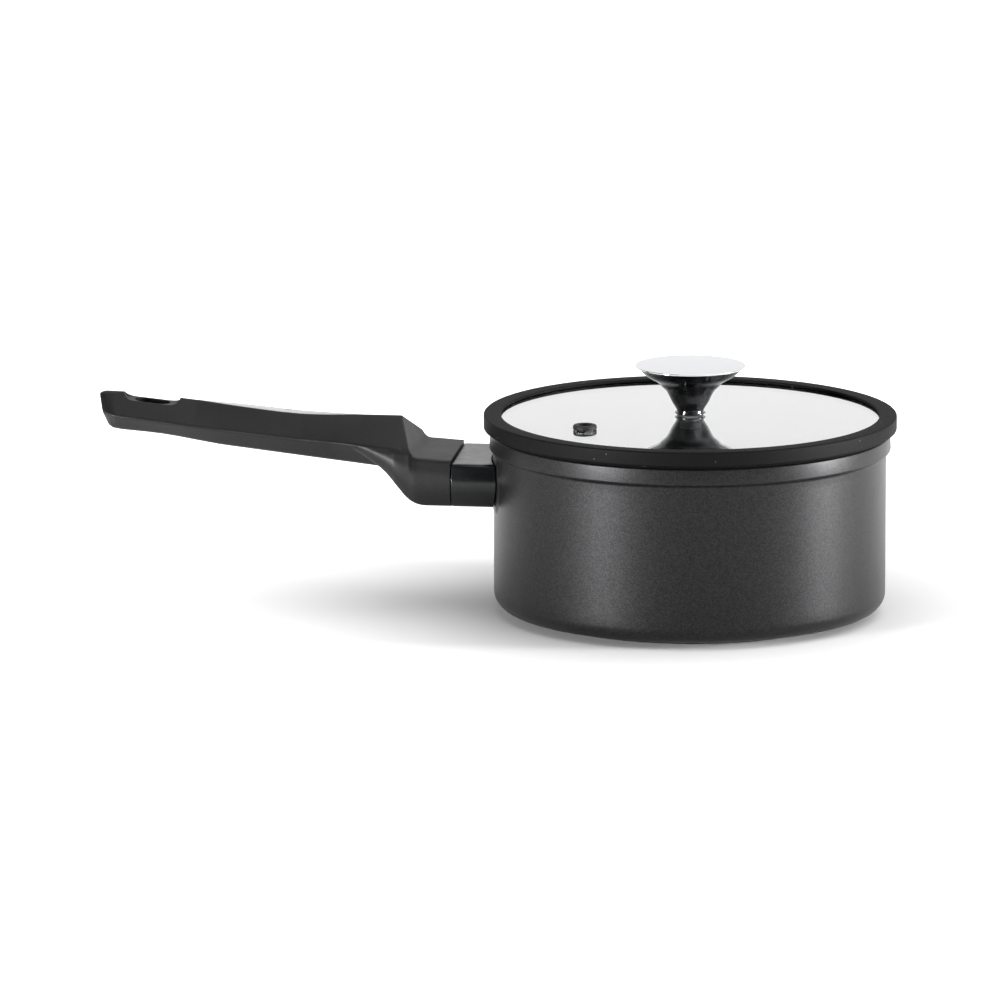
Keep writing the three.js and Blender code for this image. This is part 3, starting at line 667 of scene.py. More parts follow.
@dataclass(frozen=True)
class Phenolic(Finish):
    """Compression-moulded phenolic resin from a fine-blasted mould.

    The eye gets charcoal black, matt, with a fine grain and soft edges.
    """

    grain: float = 0.7  # mm

    def pattern(self, nodes: Nodes) -> None:
        """Fine blasted grain in height and tone, over a slow shift of gloss.

        Args:
            nodes: the material's nodes.
        """
        grain = nodes.noise(self.grain, roughness=0.6)
        nodes.tint(grain, "#080808", "#161617")
        nodes.vary(nodes.noise(18), 0.44, 0.52)
        nodes.bump(grain, 0.06, 0.8, edge=0.5)


@dataclass(frozen=True)
class Silicone(Finish):
    """Moulded silicone rubber.

    The eye gets soft charcoal without a clear reflection, with a few specks of lint.
    """

    def pattern(self, nodes: Nodes) -> None:
        """Fine grain in height, and rare pale specks where a cell's random value is high.

        Args:
            nodes: the material's nodes.
        """
        tree = nodes.tree
        grain = nodes.noise(0.6)
        chance, _, distance = nodes.cells(3.2)
        near = maths(tree, "LESS_THAN", distance, 0.06)
        speck = maths(tree, "MULTIPLY", near, maths(tree, "GREATER_THAN", chance, 0.5))
        colours = {6: linear(self.colour), 7: linear("#8c8d8f")}
        mix = add(tree, "Mix", colours, {0: speck}, data_type="RGBA")
        tree.links.new(mix.outputs[2], nodes.shader.inputs["Base Color"])
        nodes.vary(grain, 0.55, 0.68)
        nodes.bump(grain, 0.03, 0.3)


@dataclass(frozen=True)
class TurnedSteel(Finish):
    """Stainless steel, spun and polished or left with its turning marks.

    The eye gets a bright metal, with rings about its own axis where it is left turned.
    """

    ring: float = 0.5  # mm between marks
    depth: float = 0.0  # mm; 0 is a mirror polish
    smooth: float = 0.04
    rough: float = 0.08

    def pattern(self, nodes: Nodes) -> None:
        """A slow haze in gloss, and rings about Z, broken up by noise, in height.

        Args:
            nodes: the material's nodes.
        """
        nodes.vary(nodes.noise(6, 4.0), self.smooth, self.rough)
        if self.depth:
            settings = {"Scale": 1 / (self.ring * MM * 20), "Distortion": 1.5, "Detail": 2.0}
            options = {"wave_type": "RINGS", "rings_direction": "Z"}
            rings = add(nodes.tree, "TexWave", settings, {"Vector": nodes.place}, **options)
            nodes.bump(rings.outputs["Fac"], self.depth, 0.5)


@dataclass(frozen=True)
class BrushedSteel(Finish):
    """Stainless strip, brushed along its length.

    The eye gets a pale satin metal with long fine lines.
    """

    def pattern(self, nodes: Nodes) -> None:
        """Noise stretched forty times along X, in height and gloss.

        Args:
            nodes: the material's nodes.
        """
        along = add(nodes.tree, "Mapping", {"Scale": (1, 40, 40)}, {"Vector": nodes.place})
        lines = replace(nodes, place=along.outputs[0]).noise(12, 4.0)
        nodes.vary(lines, 0.2, 0.34)
        nodes.bump(lines, 0.004, 0.4)


@dataclass(frozen=True)
class TemperedGlass(Finish):
    """Clear soda-lime float glass, bent and tempered, with a ground edge.

    The eye gets a clear sheet that turns to a mirror at a low angle, and a faint green in its
    thickness.
    """

    def pattern(self, nodes: Nodes) -> None:
        """Transmission, a stronger mirror at low angles, and free passage for lamp light.

        Args:
            nodes: the material's nodes.
        """
        tree, shader = nodes.tree, nodes.shader
        shader.inputs["Transmission Weight"].default_value = 1.0
        nodes.vary(nodes.noise(25, 4.0), 0.0, 0.012)
        facing = add(tree, "LayerWeight", {"Blend": 0.5}).outputs["Facing"]
        low = maths(tree, "POWER", facing, 2.0)
        mirror = add(tree, "BsdfAnisotropic", {"Color": linear("#ffffff"), "Roughness": 0.01})
        layers = {0: low, 1: shader.outputs[0], 2: mirror.outputs[0]}
        mixed = add(tree, "MixShader", links=layers)
        clear = add(tree, "BsdfTransparent", {"Color": linear("#eaf2ee")})
        shadow = add(tree, "LightPath").outputs["Is Shadow Ray"]
        lit = add(tree, "MixShader", links={0: shadow, 1: mixed.outputs[0], 2: clear.outputs[0]})
        tree.links.new(lit.outputs[0], nodes.out.inputs["Surface"])


COATING = CoatedAluminium("coated_cast_aluminium", "#1d1d1e", 0.39, metallic=0.6, ior=1.38)
GUARD_NYLON = GuardPlastic("moulded_nylon_gloss", "#0d0e0f", 0.24, ior=1.38)
PHENOLIC = Phenolic("moulded_phenolic_matt", "#0d0d0e", 0.48, ior=1.36)
RIM_SILICONE = Silicone("moulded_silicone", "#090909", 0.6, ior=1.18)
SEAL_SILICONE = Silicone("moulded_silicone_seal", "#1a1b1c", 0.6, ior=1.4)
CLEAR_GLASS = TemperedGlass("tempered_float_glass", "#f6faf8", 0.0, ior=1.52)
KNOB_STEEL = TurnedSteel("polished_stainless_steel", "#e3e4e6", 0.08, metallic=1.0)
# The stem is the cap's polished stainless steel with a darker colour: painted shade for the dark
# reflections it shows.
SHADED_STEM_STEEL = TurnedSteel(
    "polished_stainless_stem_painted_shade", "#77787a", 0.11, metallic=1.0, smooth=0.09, rough=0.13
)
DISC_STEEL = TurnedSteel(
    "turned_ferritic_steel", "#b4b6b8", 0.3, 1.0, ring=1.2, depth=0.02, smooth=0.26, rough=0.36
)
PLAIN_STEEL = TurnedSteel(
    "zinc_plated_steel", "#b9bbbd", 0.3, 1.0, ring=0.8, depth=0.01, smooth=0.26, rough=0.4
)
INLAY_STEEL = BrushedSteel("brushed_stainless_strip", "#dcdddf", 0.26, metallic=1.0)


# ---------------------------------------------------------------- pan


@dataclass
class Pan:
    """The cast pan with its pad and lug for the handle, and the steel disc in its base.

    Every size is in mm.
    """

    cavity_radius: float = 80
    wall: float = 3
    height: float = 77.3
    base: float = 5
    corner: float = 13.2
    foot_radius: float = 69
    foot_height: float = 2.2
    band_proud: float = 2.1
    band_height: float = 6.7
    disc_radius: float = 60
    disc_thickness: float = 1
    pad_proud: float = 0.6
    band_slope: float = 1.3
    insert_radius: float = 3.5
    insert_length: float = 10
    drill_radius: float = 2.6
    drill_depth: float = 4

    @property
    def wall_radius(self) -> float:
        """Outside radius of the straight wall."""
        return self.cavity_radius + self.wall

    def outline(self) -> np.ndarray:
        """The wall's cross-section, closed: foot ring, corner, band and cavity.

        Returns:
            Rows of [radius, height].
        """
        band = self.wall_radius + self.band_proud
        recess = self.disc_radius + FIT
        corners = [
            (0, self.disc_thickness + FIT),
            (recess, self.disc_thickness + FIT, 0.3),
            (recess, 0, 0.3),
            (self.foot_radius, 0, 0.6),
            (self.foot_radius, self.foot_height, 0.5),
            (self.wall_radius, self.foot_height, self.corner),
            (self.wall_radius, self.height - self.band_height - self.band_slope, 0.8),
            (band - 0.15, self.height - self.band_height, 0.8),
            (band - 0.45, self.height, 0.7),
            (self.cavity_radius, self.height, 0.7),
            (self.cavity_radius, self.base, self.corner - self.wall),
            (0, self.base),
        ]
        return spread(rounded(corners), 4)

    def pad(self) -> Skin:
        """The low pad under the guard: rings of the root outline, laid on a cylinder.

        A ring grown by g stands proud * smoothstep(g, 2.8, 0.8) of the wall, so the pad rises out
        of it in a hollow curve. x = -sqrt(radius^2 - y^2).

        Returns:
            The skin.
        """
        grow = np.concatenate([[-9.0], np.linspace(3.2, 0.7, 12), [0.3, -6.0]])
        proud = self.pad_proud * smoothstep(-grow, -2.8, -0.8) - 0.2 * (grow > 2.8)
        proud[[0, -2, -1]] = (-1.4, self.pad_proud, self.pad_proud)
        rings = [HandleRoot.ring(g, PAD_SIDES) for g in grow]
        radius = (self.wall_radius + proud)[:, None]
        side, up = np.stack(rings)[..., 0], np.stack(rings)[..., 1]
        return Skin(np.stack([-np.sqrt(radius**2 - side**2), side, up], 2))

    def lug(self) -> Skin:
        """The lug inside the handle: a rounded bar, then the insert's hole in its end.

        Returns:
            The skin.
        """
        end = HandleRoot.LUG_REACH
        sides = CUT_SIDES
        middle = (0, HandleRoot.BOLT_HEIGHT)
        angle = np.linspace(-math.pi, math.pi, sides, endpoint=False)
        circle = np.stack([np.cos(angle), np.sin(angle)], 1)
        bar = polar_ring(HandleRoot.lug_outline(0), middle, sides)
        inset = polar_ring(HandleRoot.lug_outline(-0.5), middle, sides)
        inner = self.insert_radius * circle + np.array(middle)
        tip = self.drill_radius * circle + np.array(middle)
        floor = end - self.insert_length - SEAT
        stack = [
            (bar, self.cavity_radius + self.wall / 2),
            (bar, end - 0.5),
            (inset, end),
            (inner, end),
            (inner, floor),
            (tip, floor),
            (tip, end - self.insert_length - self.drill_depth),
        ]
        rings = [np.column_stack([np.full(sides, -reach), ring]) for ring, reach in stack]
        return Skin(np.stack(rings))

    def build(self) -> None:
        """Builds the pan body and the disc."""
        skins = [Skin.turned(self.outline(), WIDE_SIDES), self.pad(), self.lug()]
        Piece("cast_pan", skins, Body.PAN, "pan_body", "coated_aluminium", COATING).build()
        corners = [
            (0, 0),
            (self.disc_radius, 0, 0.25),
            (self.disc_radius, self.disc_thickness, 0.1),
            (0, self.disc_thickness),
        ]
        disc = Skin.turned(spread(rounded(corners), 4), WIDE_SIDES)
        Piece("base_disc", [disc], Body.PAN, "induction_disc", "disc_steel", DISC_STEEL).build()


# ---------------------------------------------------------------- handle


class HandleRoot:
    """The outline that pad, guard and handle share, and the lug inside them.

    Sizes and reaches are in mm. The sides swell by BULGE half-way up and draw in by TUCK at the
    bottom.
    """

    HALF_WIDTH = 24.6
    BULGE = 3.0
    TUCK = 2.5
    GUARD_BOTTOM = 46.4
    GUARD_HEIGHT = 19.0
    GUARD_TOP = GUARD_BOTTOM + GUARD_HEIGHT
    BOLT_HEIGHT = GUARD_BOTTOM + GUARD_HEIGHT / 2
    PAD_RADIUS = 83.6
    SPLIT_REACH = 99.2
    LUG_REACH = 104.2
    LUG_WIDTH = 24.0
    LUG_HEIGHT = 12.0

    @classmethod
    def ring(cls, grow: float, sides: int) -> np.ndarray:
        """The swollen outline as [y, z] points, grown on every side.

        Args:
            grow: how far outside the guard's own outline, mm.
            sides: how many points.

        Returns:
            Rows of two.
        """
        right = [
            (cls.HALF_WIDTH - cls.TUCK + grow, cls.GUARD_BOTTOM - grow, 5),
            (cls.HALF_WIDTH + cls.BULGE + grow, cls.GUARD_BOTTOM + cls.GUARD_HEIGHT * 0.52, 14),
            (cls.HALF_WIDTH + grow, cls.GUARD_TOP + grow, 1.5),
        ]
        left = [(-y, z, r) for y, z, r in right][::-1]
        return polar_ring(rounded(right + left, closed=True), (0, cls.BOLT_HEIGHT), sides)

    @classmethod
    def lug_outline(cls, grow: float) -> np.ndarray:
        """The lug's rounded rectangle as [y, z] points, grown on every side.

        Args:
            grow: how far outside the lug's own outline, mm.

        Returns:
            Rows of two.
        """
        y = cls.LUG_WIDTH / 2 + grow
        low = cls.BOLT_HEIGHT - cls.LUG_HEIGHT / 2 - grow
        high = cls.BOLT_HEIGHT + cls.LUG_HEIGHT / 2 + grow
        return rounded([(-y, low, 2), (y, low, 2), (y, high, 2), (-y, high, 2)], closed=True)


@dataclass
class HandleLines:
    """Heights and half-widths of the handle against reach, and its cross-section.

    Sizes are in mm and slopes are rise over run.
    """

    stub_length: float = 16
    stub_step: float = 1.4
    stub_rise: float = 1
    front_slope: float = 1.785
    grip_length: float = 137.1
    grip_rise: float = 13.8
    grip_depth: float = 25
    eave_drop: float = 10.9
    eave_lift: float = 2.2
    grip_half_width: float = 16.2
    belly_half_width: float = 8.5
    tip_half_width: float = 14.2
    grip_slope: float = 0.103
    belly_slope: float = 0.115
    belly_hollow: float = 1.4
    tip_slant: float = 5
    tip_round: float = 12
    root_end: float = 31
    inlay_length: float = 70
    inlay_width: float = 7
    inlay_start: float = 25
    inlay_border: float = 0.6

    def __post_init__(self) -> None:
        """Works out the lines, each an outline of [reach, value]."""
        start = HandleRoot.SPLIT_REACH
        self.stub_top = HandleRoot.GUARD_TOP + self.stub_step
        self.stub_reach = start + self.stub_length
        self.tip_reach = self.stub_reach + self.grip_length
        foot, tip = self.stub_reach, self.tip_reach
        crest = self.stub_top + self.stub_rise + self.grip_rise
        eave = crest - self.eave_drop
        climb_from, end = foot + 49, tip + 10
        climb = (end - climb_from) * self.grip_slope
        low = HandleRoot.GUARD_BOTTOM
        width = HandleRoot.HALF_WIDTH

        def belly_at(reach: float) -> float:
            """Height of the straight underside."""
            return crest - self.grip_depth + (reach - start) * self.belly_slope

        self.ridge = rounded([(start, crest), (climb_from, crest, 180), (end, crest + climb)])
        self.eave = rounded(
            [
                (start, eave - 1),
                (climb_from, eave + self.eave_lift, 180),
                (end, eave + self.eave_lift + climb),
            ]
        )
        self.half_width = rounded(
            [
                (start, width),
                (foot + 8, width, 60),
                (foot + 36, self.grip_half_width, 90),
                (tip - 36, self.grip_half_width, 90),
                (tip - 6, self.tip_half_width, 8),
                (tip + 2, self.tip_half_width - 4),
            ]
        )
        front_top = self.stub_top + self.stub_rise
        self.front = rounded(
            [
                (start, self.stub_top),
                (foot, front_top, 4),
                (foot + 12, front_top + 12 * self.front_slope),
            ]
        )
        self.root_belly = rounded(
            [
                (start, low),
                (foot + 0.6, low, 12),
                (foot + 13, low + 15, 30),
                (foot + self.root_end, eave + 1.5),
                (foot + self.root_end + 12, eave + 11.3),
            ]
        )
        self.belly = rounded(
            [
                (start, belly_at(start)),
                (tip - 52, belly_at(tip - 52), 150),
                (tip - 28, belly_at(tip - 28) + self.belly_hollow, 150),
                (end, belly_at(end)),
            ]
        )

    @staticmethod
    def at(line: np.ndarray, reach: np.ndarray) -> np.ndarray:
        """The line's value at each reach."""
        return np.interp(reach, line[:, 0], line[:, 1])

    @staticmethod
    def soft_min(a: np.ndarray, b: np.ndarray, width: float) -> np.ndarray:
        """The smaller of two lengths, less a parabola where they differ by under width.

        Args:
            a: one length.
            b: the other.
            width: difference under which they blend.

        Returns:
            The blended length.
        """
        blend = np.maximum(width - np.abs(a - b), 0) / width
        return np.minimum(a, b) - blend * blend * width / 4

    @staticmethod
    def ray(
        first: Point, second: Point, centre: np.ndarray, sine: np.ndarray, cosine: np.ndarray
    ) -> np.ndarray:
        """Length from (0, centre) along (sine, cosine) to the line through two [y, z] points.

        The line is normal . p = offset, so the length is offset / (normal . direction), or long
        where the ray runs away from the line.

        Args:
            first: (y, z) arrays of a point on the line.
            second: (y, z) arrays of another.
            centre: height the rays start from.
            sine: first part of the direction.
            cosine: second part.

        Returns:
            The lengths.
        """
        along_y, along_z = second[0] - first[0], second[1] - first[1]
        offset = along_z * first[0] - along_y * (first[1] - centre)
        sign = np.where(offset < 0, -1, 1)
        facing = sign * (along_z * sine - along_y * cosine)
        length = np.abs(offset) / np.maximum(facing, 1e-6)
        return np.where(facing > 1e-6, np.minimum(length, FAR), FAR)

    def flat_half_width(self, reach: np.ndarray) -> np.ndarray:
        """Half-width of the lens-shaped flat on the ridge: (1 - u^2) of its widest.

        Args:
            reach: where to evaluate it.

        Returns:
            Half-widths, 0 outside the flat.
        """
        middle = self.stub_reach + self.inlay_start + self.inlay_length / 2
        u = (reach - middle) / (self.inlay_length / 2 + self.inlay_border)
        return np.maximum(1 - u * u, 0) * (self.inlay_width / 2 + self.inlay_border)

    def sections(self, reach: np.ndarray, sides: int) -> np.ndarray:
        """Rings of [y, z] points at each reach, by rays from a centre on the mid-plane.

        The outline is the soft union of the wide root and the narrow grip, cut by the roof and by
        the flat front.

        Args:
            reach: where the sections are.
            sides: points on each.

        Returns:
            An array [section, point, 2].
        """
        reach = np.asarray(reach, float)[:, None]
        angle = 2 * math.pi * np.arange(sides)[None] / sides
        sine, cosine = np.abs(np.sin(angle)), np.cos(angle) + 0 * reach
        ridge, eave, front = (self.at(x, reach) for x in (self.ridge, self.eave, self.front))
        width, root_belly = self.at(self.half_width, reach), self.at(self.root_belly, reach)
        belly = self.at(self.belly, reach)
        past = reach - self.stub_reach
        lift = smoothstep(past, -7, self.root_end - 3)
        centre = (self.stub_top - 9) * (1 - lift) + (eave - 1) * lift
        bulge = HandleRoot.BULGE * (1 - smoothstep(past, 5, self.root_end)) + 0.3
        shoulder = np.minimum(eave, front)
        root_belly = np.minimum(root_belly, shoulder - 1.5)
        waist = (shoulder + root_belly) / 2
        down, up = np.minimum(cosine, -1e-6), np.maximum(cosine, 1e-6)

        def ray(first: Point, second: Point) -> np.ndarray:
            """Length to the line through two points."""
            return self.ray(first, second, centre, sine, cosine)

        roof = ray((width, eave), (self.flat_half_width(reach), ridge))
        flat = np.minimum(np.maximum(np.minimum(front, ridge) - centre, 0) / up, FAR)
        upper = ray((width, shoulder), (width + bulge, waist))
        lower = ray((width + bulge, waist), (width - HandleRoot.TUCK, root_belly))
        root_floor = np.minimum(np.maximum(centre - root_belly, 0.01) / -down, FAR)
        root = self.soft_min(self.soft_min(upper, lower, 6), root_floor, 4)
        flank = ray((width, eave), (self.belly_half_width, belly))
        floor = np.minimum((centre - belly) / -down, FAR)
        grip = self.soft_min(flank, floor, 3)
        sunk = root - 0.4 * smoothstep(past, 5, 15)
        sunk = sunk - smoothstep(past, self.root_end - 8, self.root_end)
        sunk = sunk - 9 * smoothstep(past, self.root_end - 2, self.root_end + 12)
        side = -self.soft_min(-sunk, np.where(past > 5, -grip, 0), 1.0)
        length = self.soft_min(self.soft_min(roof, flat, 0.8), side, 2.0)
        return np.stack([np.sin(angle) * length, centre + cosine * length], 2)


@dataclass
class Handle:
    """Guard, moulded grip, inlay, and the screw that holds them to the pan.

    Every size is in mm.
    """

    lines: HandleLines = field(default_factory=HandleLines)
    slot_length: float = 15
    slot_width: float = 10
    slot_to_tip: float = 15
    scoop_length: float = 24
    scoop_width: float = 14.5
    scoop_depth: float = 3
    inlay_thickness: float = 1.2
    inlay_sink: float = 0.1
    screw_radius: float = 2.3
    head_radius: float = 4.6
    head_height: float = 3.2
    pocket_radius: float = 6
    pocket_length: float = 22
    seat_wall: float = 5.2
    washer_radius: float = 5.4
    washer: float = 1
    spring_washer: float = 1.5
    key_radius: float = 2.3
    key_depth: float = 2
    insert_radius: float = 3.5
    insert_length: float = 10

    def guard(self) -> Skin:
        """The guard's sleeve: rings from the pan's side, over the outside, and back inside.

        The pan's side lies on a cylinder, x = -sqrt(radius^2 - y^2), and edges are drawn in by
        quarter circles.

        Returns:
            The skin.
        """
        sides = ROOT_SIDES
        middle = (0, HandleRoot.BOLT_HEIGHT)
        passage = polar_ring(HandleRoot.lug_outline(FIT), middle, sides)
        near, far = HandleRoot.PAD_RADIUS + FIT, HandleRoot.SPLIT_REACH - FIT
        turn = np.linspace(0, math.pi / 2, 6)
        edge = 0.45
        stack: list[np.ndarray] = []

        def lay(ring: np.ndarray, inward: float, on_pan: bool) -> None:
            """Adds a ring, a little inside one of the sleeve's two ends."""
            y, z = ring.T
            x = -np.sqrt(near**2 - y**2) - inward if on_pan else np.full(sides, -far + inward)
            stack.append(np.stack([x, y, z], 1))

        lay(passage, 0, True)
        for t in turn:
            lay(HandleRoot.ring(edge * (math.sin(t) - 1), sides), edge * (1 - math.cos(t)), True)
        for t in turn[::-1]:
            lay(HandleRoot.ring(edge * (math.sin(t) - 1), sides), edge * (1 - math.cos(t)), False)
        lay(passage, 0, False)
        return Skin(np.stack(stack), joined=True)

    def stations(self) -> np.ndarray:
        """Reaches of the grip's sections: closest at the front's foot and at the tip.

        Returns:
            The reaches, in order.
        """
        foot, tip = self.lines.stub_reach, self.lines.tip_reach
        spans = [
            (HandleRoot.SPLIT_REACH, foot - 2, 1.0),
            (foot - 2, foot + 9, 0.25),
            (foot + 9, foot + 34, 0.5),
            (foot + 34, tip - 40, 1.0),
            (tip - 40, tip - 3, 0.7),
            (tip - 3, tip, 0.25),
        ]
        parts = [np.linspace(a, b, round((b - a) / step), endpoint=False) for a, b, step in spans]
        return np.concatenate([*parts, [tip]])

    def grip(self) -> Skin:
        """The grip's skin: its sections, leant back and drawn in a little at the tip.

        Returns:
            The skin.
        """
        lines = self.lines
        reach = self.stations()
        rings = lines.sections(reach, GRIP_SIDES)
        y, z = rings[..., 0], rings[..., 1]
        top, bottom = z.max(1, keepdims=True), z.min(1, keepdims=True)
        tip = lines.tip_reach
        lean = lines.tip_slant * smoothstep(reach, tip - lines.tip_round, tip)
        shrink = 1 - 0.12 * (np.maximum(reach - tip + 3, 0) / 3)[:, None] ** 2
        x = -reach[:, None] + lean[:, None] * (top - z) / (top - bottom)
        middle = (top + bottom) / 2
        return Skin(np.stack([x, y * shrink, middle + (z - middle) * shrink], 2))

    def follow_ridge(
        self, ring: np.ndarray, reach: float, levels: list[tuple[float, float]]
    ) -> Skin:
        """Scaled copies of a flat ring, each set at a height over the ridge.

        Args:
            ring: [along, across] points about the piece's own middle.
            reach: that middle's reach.
            levels: (scale, height over the ridge) from one end to the other.

        Returns:
            The skin.
        """
        rings = []
        for scale, height in levels:
            x = -reach + ring[:, 0] * scale
            z = HandleLines.at(self.lines.ridge, -x) + height
            rings.append(np.stack([x, ring[:, 1] * scale, z], 1))
        return Skin(np.stack(rings))

    def cuts(self) -> list[Skin]:
        """Lug socket, screw hole and pocket, hanging slot, its scoop, and the inlay's recess.

        Returns:
            The closed skins to take out, in that order.
        """
        lines = self.lines
        sides = CUT_SIDES
        socket = polar_ring(HandleRoot.lug_outline(FIT), (0, HandleRoot.BOLT_HEIGHT), sides)
        ends = (HandleRoot.SPLIT_REACH - 1, HandleRoot.LUG_REACH + FIT)
        lug = Skin(np.stack([np.column_stack([np.full(sides, -x), socket]) for x in ends]))
        seat = ends[1] + self.seat_wall
        hole = rod(self.screw_radius + FIT + SEAT, HandleRoot.SPLIT_REACH, seat + 1)
        pocket = rod(self.pocket_radius, seat, seat + self.pocket_length)
        middle = lines.tip_reach - self.slot_to_tip - self.slot_length / 2
        slot_ring = stadium_ring(self.slot_length, self.slot_width, sides)
        below, above = (1, -40), (1, 20)
        slot = self.follow_ridge(slot_ring, middle, [below, above])
        scoop_ring = stadium_ring(self.scoop_length, self.scoop_width, sides)
        deep = self.scoop_depth
        bowl = [(0.8, -deep), (0.9, -deep + 0.1), (0.96, -deep + 0.4), (0.99, -deep + 0.9)]
        scoop = self.follow_ridge(scoop_ring, middle, [*bowl, (1, -deep + 1.6), above])
        lens = lens_ring(lines.inlay_length + 2 * FIT, lines.inlay_width + 2 * FIT, 60)
        floor = -self.inlay_sink - self.inlay_thickness - FIT
        start = lines.stub_reach + lines.inlay_start + lines.inlay_length / 2
        recess = self.follow_ridge(lens, start, [(1, floor), (1, 6)])
        return [lug, hole, pocket, slot, scoop, recess]

    def inlay(self) -> Skin:
        """The strip in the ridge: a lens with a small round along its upper edge.

        Returns:
            The skin.
        """
        lines = self.lines
        lens = lens_ring(lines.inlay_length, lines.inlay_width, 60)
        start = lines.stub_reach + lines.inlay_start + lines.inlay_length / 2
        top = -self.inlay_sink
        bottom = top - self.inlay_thickness
        levels = [(1, bottom), (1, top - 0.25), (0.985, top - 0.06), (0.95, top)]
        return self.follow_ridge(lens, start, levels)

    def build(self) -> None:
        """Builds every piece of the handle."""
        root = HandleRoot
        start = root.LUG_REACH - self.insert_length
        end = root.LUG_REACH - SEAT
        thread = self.screw_radius + SEAT
        sleeve = tube(thread, self.insert_radius - FIT, start, end, Axis.HANDLE)
        washer_at = root.LUG_REACH + FIT + self.seat_wall + SEAT
        spring_at = washer_at + self.washer + SEAT
        head_at = spring_at + self.spring_washer + SEAT
        bore = self.screw_radius + FIT
        flat = tube(bore, self.washer_radius, washer_at, washer_at + self.washer, Axis.HANDLE)
        spring_end = spring_at + self.spring_washer
        spring = tube(bore, self.head_radius, spring_at, spring_end, Axis.HANDLE)
        head_end = head_at + self.head_height
        corners = [
            (0, start - 2),
            (self.screw_radius, start - 2, 0.4),
            (self.screw_radius, head_at, 0.1),
            (self.head_radius, head_at, 0.2),
            (self.head_radius, head_end, 0.5),
            (0, head_end),
        ]
        screw = Skin.turned(rounded(corners), SMALL_SIDES, Axis.HANDLE)
        key = rod(self.key_radius, head_end - self.key_depth, head_end + 1, sides=6)
        guard = ("guard_plastic", GUARD_NYLON)
        resin = ("handle_phenolic", PHENOLIC)
        satin = ("satin_steel", INLAY_STEEL)
        plain = ("plain_steel", PLAIN_STEEL)
        for name, skin, node, dress, cuts, crease in (
            ("guard_sleeve", self.guard(), "flame_guard", guard, [], 40),
            ("moulded_grip", self.grip(), "handle_grip", resin, self.cuts(), 32),
            ("ridge_inlay", self.inlay(), "handle_inlay", satin, [], 40),
            ("threaded_insert", sleeve, "screw_insert", plain, [], 30),
            ("plain_washer", flat, "handle_washer", plain, [], 30),
            ("split_washer", spring, "spring_washer", plain, [self.split()], 30),
            ("socket_screw", screw, "handle_screw", plain, [key], 30),
        ):
            Piece(name, [skin], Body.PAN, node, *dress, cuts=cuts, crease=crease).build()

    def split(self) -> Skin:
        """The slanted gap of the spring washer: a thin leaning slab.

        Returns:
            The skin.
        """
        at = HandleRoot.LUG_REACH + FIT + self.seat_wall + SEAT + self.washer + SEAT
        middle = -(at + self.spring_washer / 2)
        lean = math.radians(25)
        corners = np.array([(-4, -0.35), (4, -0.35), (4, 0.35), (-4, 0.35)])
        x = middle + corners[:, 0] * math.cos(lean) - corners[:, 1] * math.sin(lean)
        y = corners[:, 0] * math.sin(lean) + corners[:, 1] * math.cos(lean)
        low = HandleRoot.BOLT_HEIGHT
        heights = (low, low + self.head_radius + 1)
        return Skin(np.stack([np.stack([x, y, np.full(4, z)], 1) for z in heights]))


def rod(radius: float, start: float, end: float, sides: int = SMALL_SIDES) -> Skin:
    """A plain rod about the handle's screw line, between two reaches.

    Args:
        radius: of the rod, mm.
        start: reach where it begins.
        end: reach where it ends.
        sides: steps round it.

    Returns:
        The skin.
    """
    outline = np.array([(0, start), (radius, start), (radius, end), (0, end)])
    return Skin.turned(outline, sides, Axis.HANDLE)


def tube(inner: float, outer: float, start: float, end: float, axis: Axis) -> Skin:
    """A ring with lightly broken edges, turned about an axis.

    Args:
        inner: radius of the hole, mm.
        outer: outside radius, mm.
        start: where it begins on the axis, mm.
        end: where it ends, mm.
        axis: the line it turns about.

    Returns:
        The skin.
    """
    edge = min(0.15, (end - start) / 4)
    corners = [(inner, start), (outer, start, edge), (outer, end, edge), (inner, end)]
    return Skin.turned(rounded(corners, closed=True), SMALL_SIDES, axis, joined=True)


# ---------------------------------------------------------------- lid


